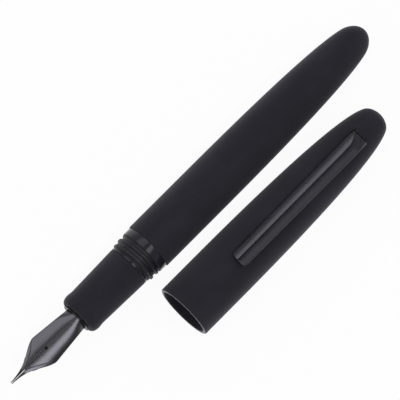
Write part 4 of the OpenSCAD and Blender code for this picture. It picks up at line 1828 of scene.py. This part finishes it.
    def screw(self) -> Shape:
        """Shape the slotted screw of the clip.

        Returns:
            The finished shape.
        """
        face = self.plug_c0 - self.head_l
        end = self.screw_c1 - self.screw_bevel
        run_c0, run_c1 = self.plug_c1 + self.screw_lead, end - self.screw_lead
        run = Thread(run_c0, run_c1, self.screw_pitch, self.screw_depth)
        root = self.screw_r - self.screw_depth
        outline = [(face, 0.0), (face, self.head_r - self.head_bevel), (face + self.head_bevel, self.head_r)]
        outline += [(self.plug_c0, self.head_r), (self.plug_c0, self.screw_r)]
        outline += [(self.plug_c1 - self.screw_bevel, self.screw_r)]
        outline += [(c, root) for c in span(self.plug_c1, end - self.screw_bevel, self.screw_steps)]
        outline += [(end, root - self.screw_bevel), (end, 0.0)]
        half = self.head_slot_w / 2
        low = (face - 1.0, -2 * self.head_r, -half)
        tool = Shape().block(low, (face + self.head_slot_depth, 2 * self.head_r, half))
        return Shape().turn(outline, 48).raise_thread(run, root).combine(tool, Joining.CUT)

    def spring(self) -> Shape:
        """Wind the spring behind the liner.

        Returns:
            The finished shape.
        """
        shape = Shape()
        steps = self.coil_steps * self.coils
        start = self.liner_c1 + self.wire_r + self.glue
        pitch = (self.plug_c0 - self.wire_r - self.glue - start) / steps
        place = Matrix.Translation((start, self.spring_r, 0.0))
        wire = {"segments": self.wire_sides, "radius": self.wire_r, "matrix": place}
        ring = bmesh.ops.create_circle(shape.mesh, **wire)["verts"]
        bmesh.ops.spin(
            shape.mesh,
            geom=ring + shape.mesh.edges[:],
            cent=(0, 0, 0),
            axis=(1, 0, 0),
            dvec=(pitch, 0, 0),
            angle=2 * math.pi * self.coils,
            steps=steps,
        )
        ends = [edge for edge in shape.mesh.edges if edge.is_boundary]
        bmesh.ops.holes_fill(shape.mesh, edges=ends, sides=0)
        return shape.clean()


@dataclass
class Clip:
    """Pocket clip, a bar and a sloping face either side of a crease, in stations from the cap's mouth."""

    cap: Taper
    tip: float = 17.8
    shoulder: float = 19.5
    knee: float = 58.0
    root: float = 63.9
    tip_w: float = 4.5
    tip_share: float = 0.68
    root_w: float = 4.9
    thickness: float = 1.2
    trough: float = 0.42
    rim: float = 0.15
    root_rim: float = 0.35
    root_rim_l: tuple[float, float] = (2.4, 0.6)
    bevel: float = 0.09
    root_bevel: float = 0.22
    root_bevel_l: float = 1.8
    edge_drop: float = 0.02
    nose: float = 0.45
    nose_l: float = 0.9
    fillet: float = 0.42
    fillet_start: float = 0.45
    root_slope: float = 0.14
    bar_inner: float = 0.68
    bar_least: float = 0.1
    bar_top: float = 1.25
    bar_top_shift: float = 0.3
    bar_bow: float = 0.061
    bar_round: float = 0.7
    bar_turn: float = 4.0
    tip_gap: float = 0.9
    knee_gap: float = 0.75
    knee_round: float = 0.2
    knee_lead: tuple[float, float] = (2.0, 1.5)
    root_gap: float = 0.45
    pad_c: float = 20.2
    pad_play: float = 0.1
    pad_share: float = 0.5
    tab_t: float = 0.8
    tab_w: float = 3.4
    tab_z: float = -1.9
    tab_inset: float = 0.002
    hole_r: float = 1.15

    def build(self, bench: Bench) -> None:
        """Build and place the clip."""
        bench.piece(self.shape(), "clip", bench.cap, 24.0, CLIP_FINISH.material("clip_steel"))

    def base(self, c: float) -> float:
        """Work out the clip's lower face, bent softly at the knee.

        Args:
            c: The station.

        Returns:
            Its height there.
        """
        tip_z = self.cap.at(self.tip) + self.tip_gap
        knee_z = self.cap.at(self.knee) + self.knee_gap
        root_z = self.cap.at(self.root) + self.root_gap
        front = knee_z + (tip_z - knee_z) * (self.knee - c) / (self.knee - self.tip)
        back = knee_z + (root_z - knee_z) * (c - self.knee) / (self.root - self.knee)
        share = min(1.0, max(0.0, 0.5 + (back - front) / (2 * self.knee_round)))
        return back + (front - back) * share - self.knee_round * share * (1 - share)

    def half(self, c: float) -> float:
        """Work out the clip's width, drawn in round its tip.

        Args:
            c: The station.

        Returns:
            Half the width there.
        """
        wide = blend(self.tip_w, self.root_w, (c - self.tip) / (self.root - self.tip)) / 2
        t = min(1.0, (c - self.tip) / (self.shoulder - self.tip))
        return wide * (self.tip_share + (1 - self.tip_share) * math.sqrt(1 - (1 - t) ** 2))

    def ring(self, c: float) -> list[Point]:
        """List the points round the clip's section.

        Args:
            c: The station.

        Returns:
            The points, in order.
        """
        half, z0 = self.half(c), self.base(c)
        into = min(1.0, (c - self.tip) / self.nose_l)
        z1 = z0 + self.thickness - self.nose * (1 - math.sqrt(1 - (1 - into) ** 2))
        bevel = blend(self.bevel, self.root_bevel, ease(self.root - self.root_bevel_l, self.root, c))
        section = [(-half, z0), (-half, z1 - bevel), (bevel - half, z1)]
        section += [(y, z1 - depth) for y, depth in self.face(c, half - bevel)]
        section += [(half, z1 - bevel - self.edge_drop), (half, z0)]
        return [(c, y, z) for y, z in section]

    def face(self, c: float, flat: float) -> Outline:
        """List the clip's face across a station.

        Args:
            c: The station.
            flat: Half the width of the face.

        Returns:
            Points of (place across, depth): the sloping side, the crease, and the rounded bar.
        """
        to_root = max(0.0, self.root - c)
        turn = math.sin(math.pi / 2 * min(1.0, to_root / self.bar_turn))
        rim = blend(self.rim, self.root_rim, ease(*self.root_rim_l, to_root))
        crown = self.bar_top - self.bar_top_shift * (self.root - c) / (self.root - self.tip)
        widest = flat - self.bar_least
        inner = widest - (widest - self.bar_inner) * turn
        foot = self.bar_inner - self.bar_round
        crease = inner - self.bar_round * turn
        low = foot + flat - rim
        full = (1 + self.fillet_start) / 2 * self.fillet + 1 - self.fillet
        flatter = ease(self.bar_turn, 0.5 * self.bar_turn, to_root)

        def slope(y: float) -> float:
            """Work out the sloping side, filleted at its foot, and flatter at the root.

            Args:
                y: Place across the clip.

            Returns:
                Its depth there.
            """
            s = min(1.0, max(0.0, (foot - y) / low))
            near = min(s, self.fillet)
            rise = self.fillet_start * near + (1 - self.fillet_start) * near * near / (2 * self.fillet)
            hollow = self.trough * (1 - (rise + s - near) / full)
            plain = (y + flat - rim) * self.root_slope
            return blend(hollow + max(0.0, y - foot) * self.root_slope, plain, flatter)

        def bow(y: float) -> float:
            """Give the depth of the bar's bowed top."""
            return self.bar_bow * (y - crown) ** 2

        points = [(y, slope(y)) for y in span(rim - flat, crease, 14)]
        floor, top = slope(crease), min(bow(inner), slope(crease))
        for step in span(0.0, math.pi / 2, 6)[1:-1]:
            across = (inner - crease) * (1 - math.cos(step))
            points.append((crease + across, floor + (top - floor) * math.sin(step)))
        return points + [(y, min(bow(y), max(floor, top))) for y in span(inner, flat, 8)]

    def shape(self) -> Shape:
        """Shape the clip's bar, its pad on the cap and its tab in the slot.

        Returns:
            The finished shape.
        """
        front = [self.tip + (self.shoulder - self.tip) * (i / 9) ** 2 for i in range(10)]
        before, after = (self.knee - lead for lead in self.knee_lead)
        stations = front + span(self.shoulder, before, 16)[1:] + span(after, self.root, 44)
        bar = Shape().loft([self.ring(c) for c in stations])
        pad_z = self.base(self.pad_c)
        pad_r = pad_z - self.cap.at(self.pad_c) - self.pad_play
        pad = Shape()
        bmesh.ops.create_cone(
            pad.mesh,
            cap_ends=True,
            segments=48,
            radius1=pad_r,
            radius2=pad_r,
            depth=self.pad_share * self.tip_w,
            matrix=Matrix.Translation((self.pad_c, 0, pad_z)) @ Matrix.Rotation(math.pi / 2, 4, "X"),
        )
        bar.combine(pad.soften(0.12, 60.0), Joining.WELD)
        half = self.tab_w / 2
        low = (self.root - self.tab_t, -half, self.tab_z)
        tab = Shape().block(low, (self.root - self.tab_inset, half, self.base(self.root) + self.bevel))
        hole = Shape().tube(self.root - 2 * self.tab_t, self.root + self.tab_t, 0.0, self.hole_r, 48)
        tab.soften(0.08, 60.0, 2).combine(hole, Joining.CUT)
        return bar.combine(tab, Joining.WELD)


@dataclass(frozen=True)
class Lamp:
    """Soft rectangular lamp that leans, in degrees, from straight overhead towards +Y."""

    name: str
    lean: float
    distance: float
    size: tuple[float, float]
    radiance: float

    def hang(self) -> None:
        """Hang the lamp over the pen, with its length along the pen."""
        data = bpy.data.lights.new(self.name, "AREA")
        data.shape = "RECTANGLE"
        data.size, data.size_y = self.size
        data.energy = self.radiance * math.pi * data.size * data.size_y
        made = bpy.data.objects.new(self.name, data)
        bpy.context.scene.collection.objects.link(made)
        turn = Matrix.Rotation(-math.radians(self.lean), 4, "X")
        made.matrix_world = turn @ Matrix.Translation((0, 0, self.distance))
        made.visible_camera = False


LAMPS = (Lamp("strip", -14.0, 0.8, (3.0, 0.3), 2.4), Lamp("far_side", 34.0, 1.0, (3.4, 0.72), 1.08))


@dataclass
class Studio:
    """Pale floor, soft lamps and the camera, round the pen's middle."""

    tilt: float = 10.4
    distance: float = 1.2
    lens: float = 418.0
    ahead: float = 2.9
    aside: float = -0.96
    floor_r: float = 8.0
    paper: float = 0.9
    paper_glow: float = 0.94
    sky_pale: float = 0.5
    sky_dim: float = 0.12
    sky_heights: tuple[float, float] = (0.1, 0.85)

    def build(self, bench: Bench) -> None:
        """Set up floor, world, lamps and camera.

        Args:
            bench: The work place, which knows the pen's seat.
        """
        self.floor()
        self.world()
        for lamp in LAMPS:
            lamp.hang()
        self.camera(bench.pen)

    def floor(self) -> None:
        """Lay the floor, white to the camera and in reflections, with the object's shadow on it."""
        mesh = bmesh.new()
        bmesh.ops.create_circle(mesh, cap_ends=True, segments=96, radius=self.floor_r)
        data = bpy.data.meshes.new("floor")
        mesh.to_mesh(data)
        mesh.free()
        made = bpy.data.objects.new("floor", data)
        bpy.context.scene.collection.objects.link(made)
        material = bpy.data.materials.new("white_paper")
        tree = Tree(material)
        seen = self.background_rays(tree)
        diffuse = tree.node("ShaderNodeBsdfDiffuse", None, {"Color": rgba((self.paper,) * 3)})
        glow = tree.node("ShaderNodeEmission", None, {"Color": (1.0, 1.0, 1.0, 1.0), "Strength": 1.0})
        paper = diffuse.outputs[0]
        pale = tree.node("ShaderNodeMixShader", None, {0: self.paper_glow, 1: paper, 2: glow.outputs[0]})
        both = tree.node("ShaderNodeMixShader", None, {0: seen, 1: paper, 2: pale.outputs[0]})
        tree.node("ShaderNodeOutputMaterial", None, {"Surface": both.outputs[0]})
        data.materials.append(material)

    def background_rays(self, tree: Tree) -> Number:
        """Pick out rays from the camera and rays mirrored or let through by the object.

        Args:
            tree: The material's tree.

        Returns:
            1 for those rays and 0 for others.
        """
        path = tree.node("ShaderNodeLightPath").outputs
        names = ("Is Camera Ray", "Is Glossy Ray", "Is Transmission Ray")
        seen, mirrored, let_through = (Number(tree, path[name]) for name in names)
        return seen.maths("MAXIMUM", seen.maths("MAXIMUM", seen, mirrored), let_through)

    def world(self) -> None:
        """Set a sky that is pale at the horizon and dim overhead."""
        made = bpy.data.worlds.new("studio")
        bpy.context.scene.world = made
        tree = Tree(made)
        direction = tree.node("ShaderNodeTexCoord").outputs["Generated"]
        height = Number(tree, tree.node("ShaderNodeSeparateXYZ", None, {0: direction}).outputs[2])
        share = height.between(*self.sky_heights)
        colour = tree.shade(share, (1.0, 1.0, 1.0), self.sky_pale, self.sky_dim)
        glow = tree.node("ShaderNodeBackground", None, {"Color": colour, "Strength": 1.0})
        tree.node("ShaderNodeOutputWorld", None, {"Surface": glow.outputs[0]})

    def camera(self, pen: Seat) -> None:
        """Set the camera over the pen, leaning towards its nib.

        Args:
            pen: The pen's seat.
        """
        t = math.radians(self.tilt)
        target = Vector((self.ahead, pen.y + self.aside, pen.z)) * MM
        along = Vector((math.cos(t), 0, math.sin(t)))
        across = Vector((0, 1, 0))
        back = along.cross(across)
        right, up = (along - across).normalized(), (along + across).normalized()
        turn = Matrix((right, up, back)).transposed().to_4x4()
        data = bpy.data.cameras.new("camera")
        data.lens = self.lens
        data.sensor_width = 36.0
        data.clip_start = 0.01
        data.clip_end = 100.0
        made = bpy.data.objects.new("camera", data)
        made.matrix_world = Matrix.Translation(target + back * self.distance) @ turn
        bpy.context.scene.collection.objects.link(made)
        bpy.context.scene.camera = made


def main() -> None:
    """Build every sub-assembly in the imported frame, then the studio round it."""
    logging.basicConfig(level=logging.INFO, format="%(name)s: %(message)s")
    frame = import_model()
    bpy.context.scene.view_settings.view_transform = "Standard"
    bench = Bench(frame)
    cap = Cap()
    Studio().build(bench)
    for part in (NibUnit(), Section(), Barrel(), Converter(), cap, Clip(cap.outline())):
        part.build(bench)


if __name__ == "__main__":
    main()
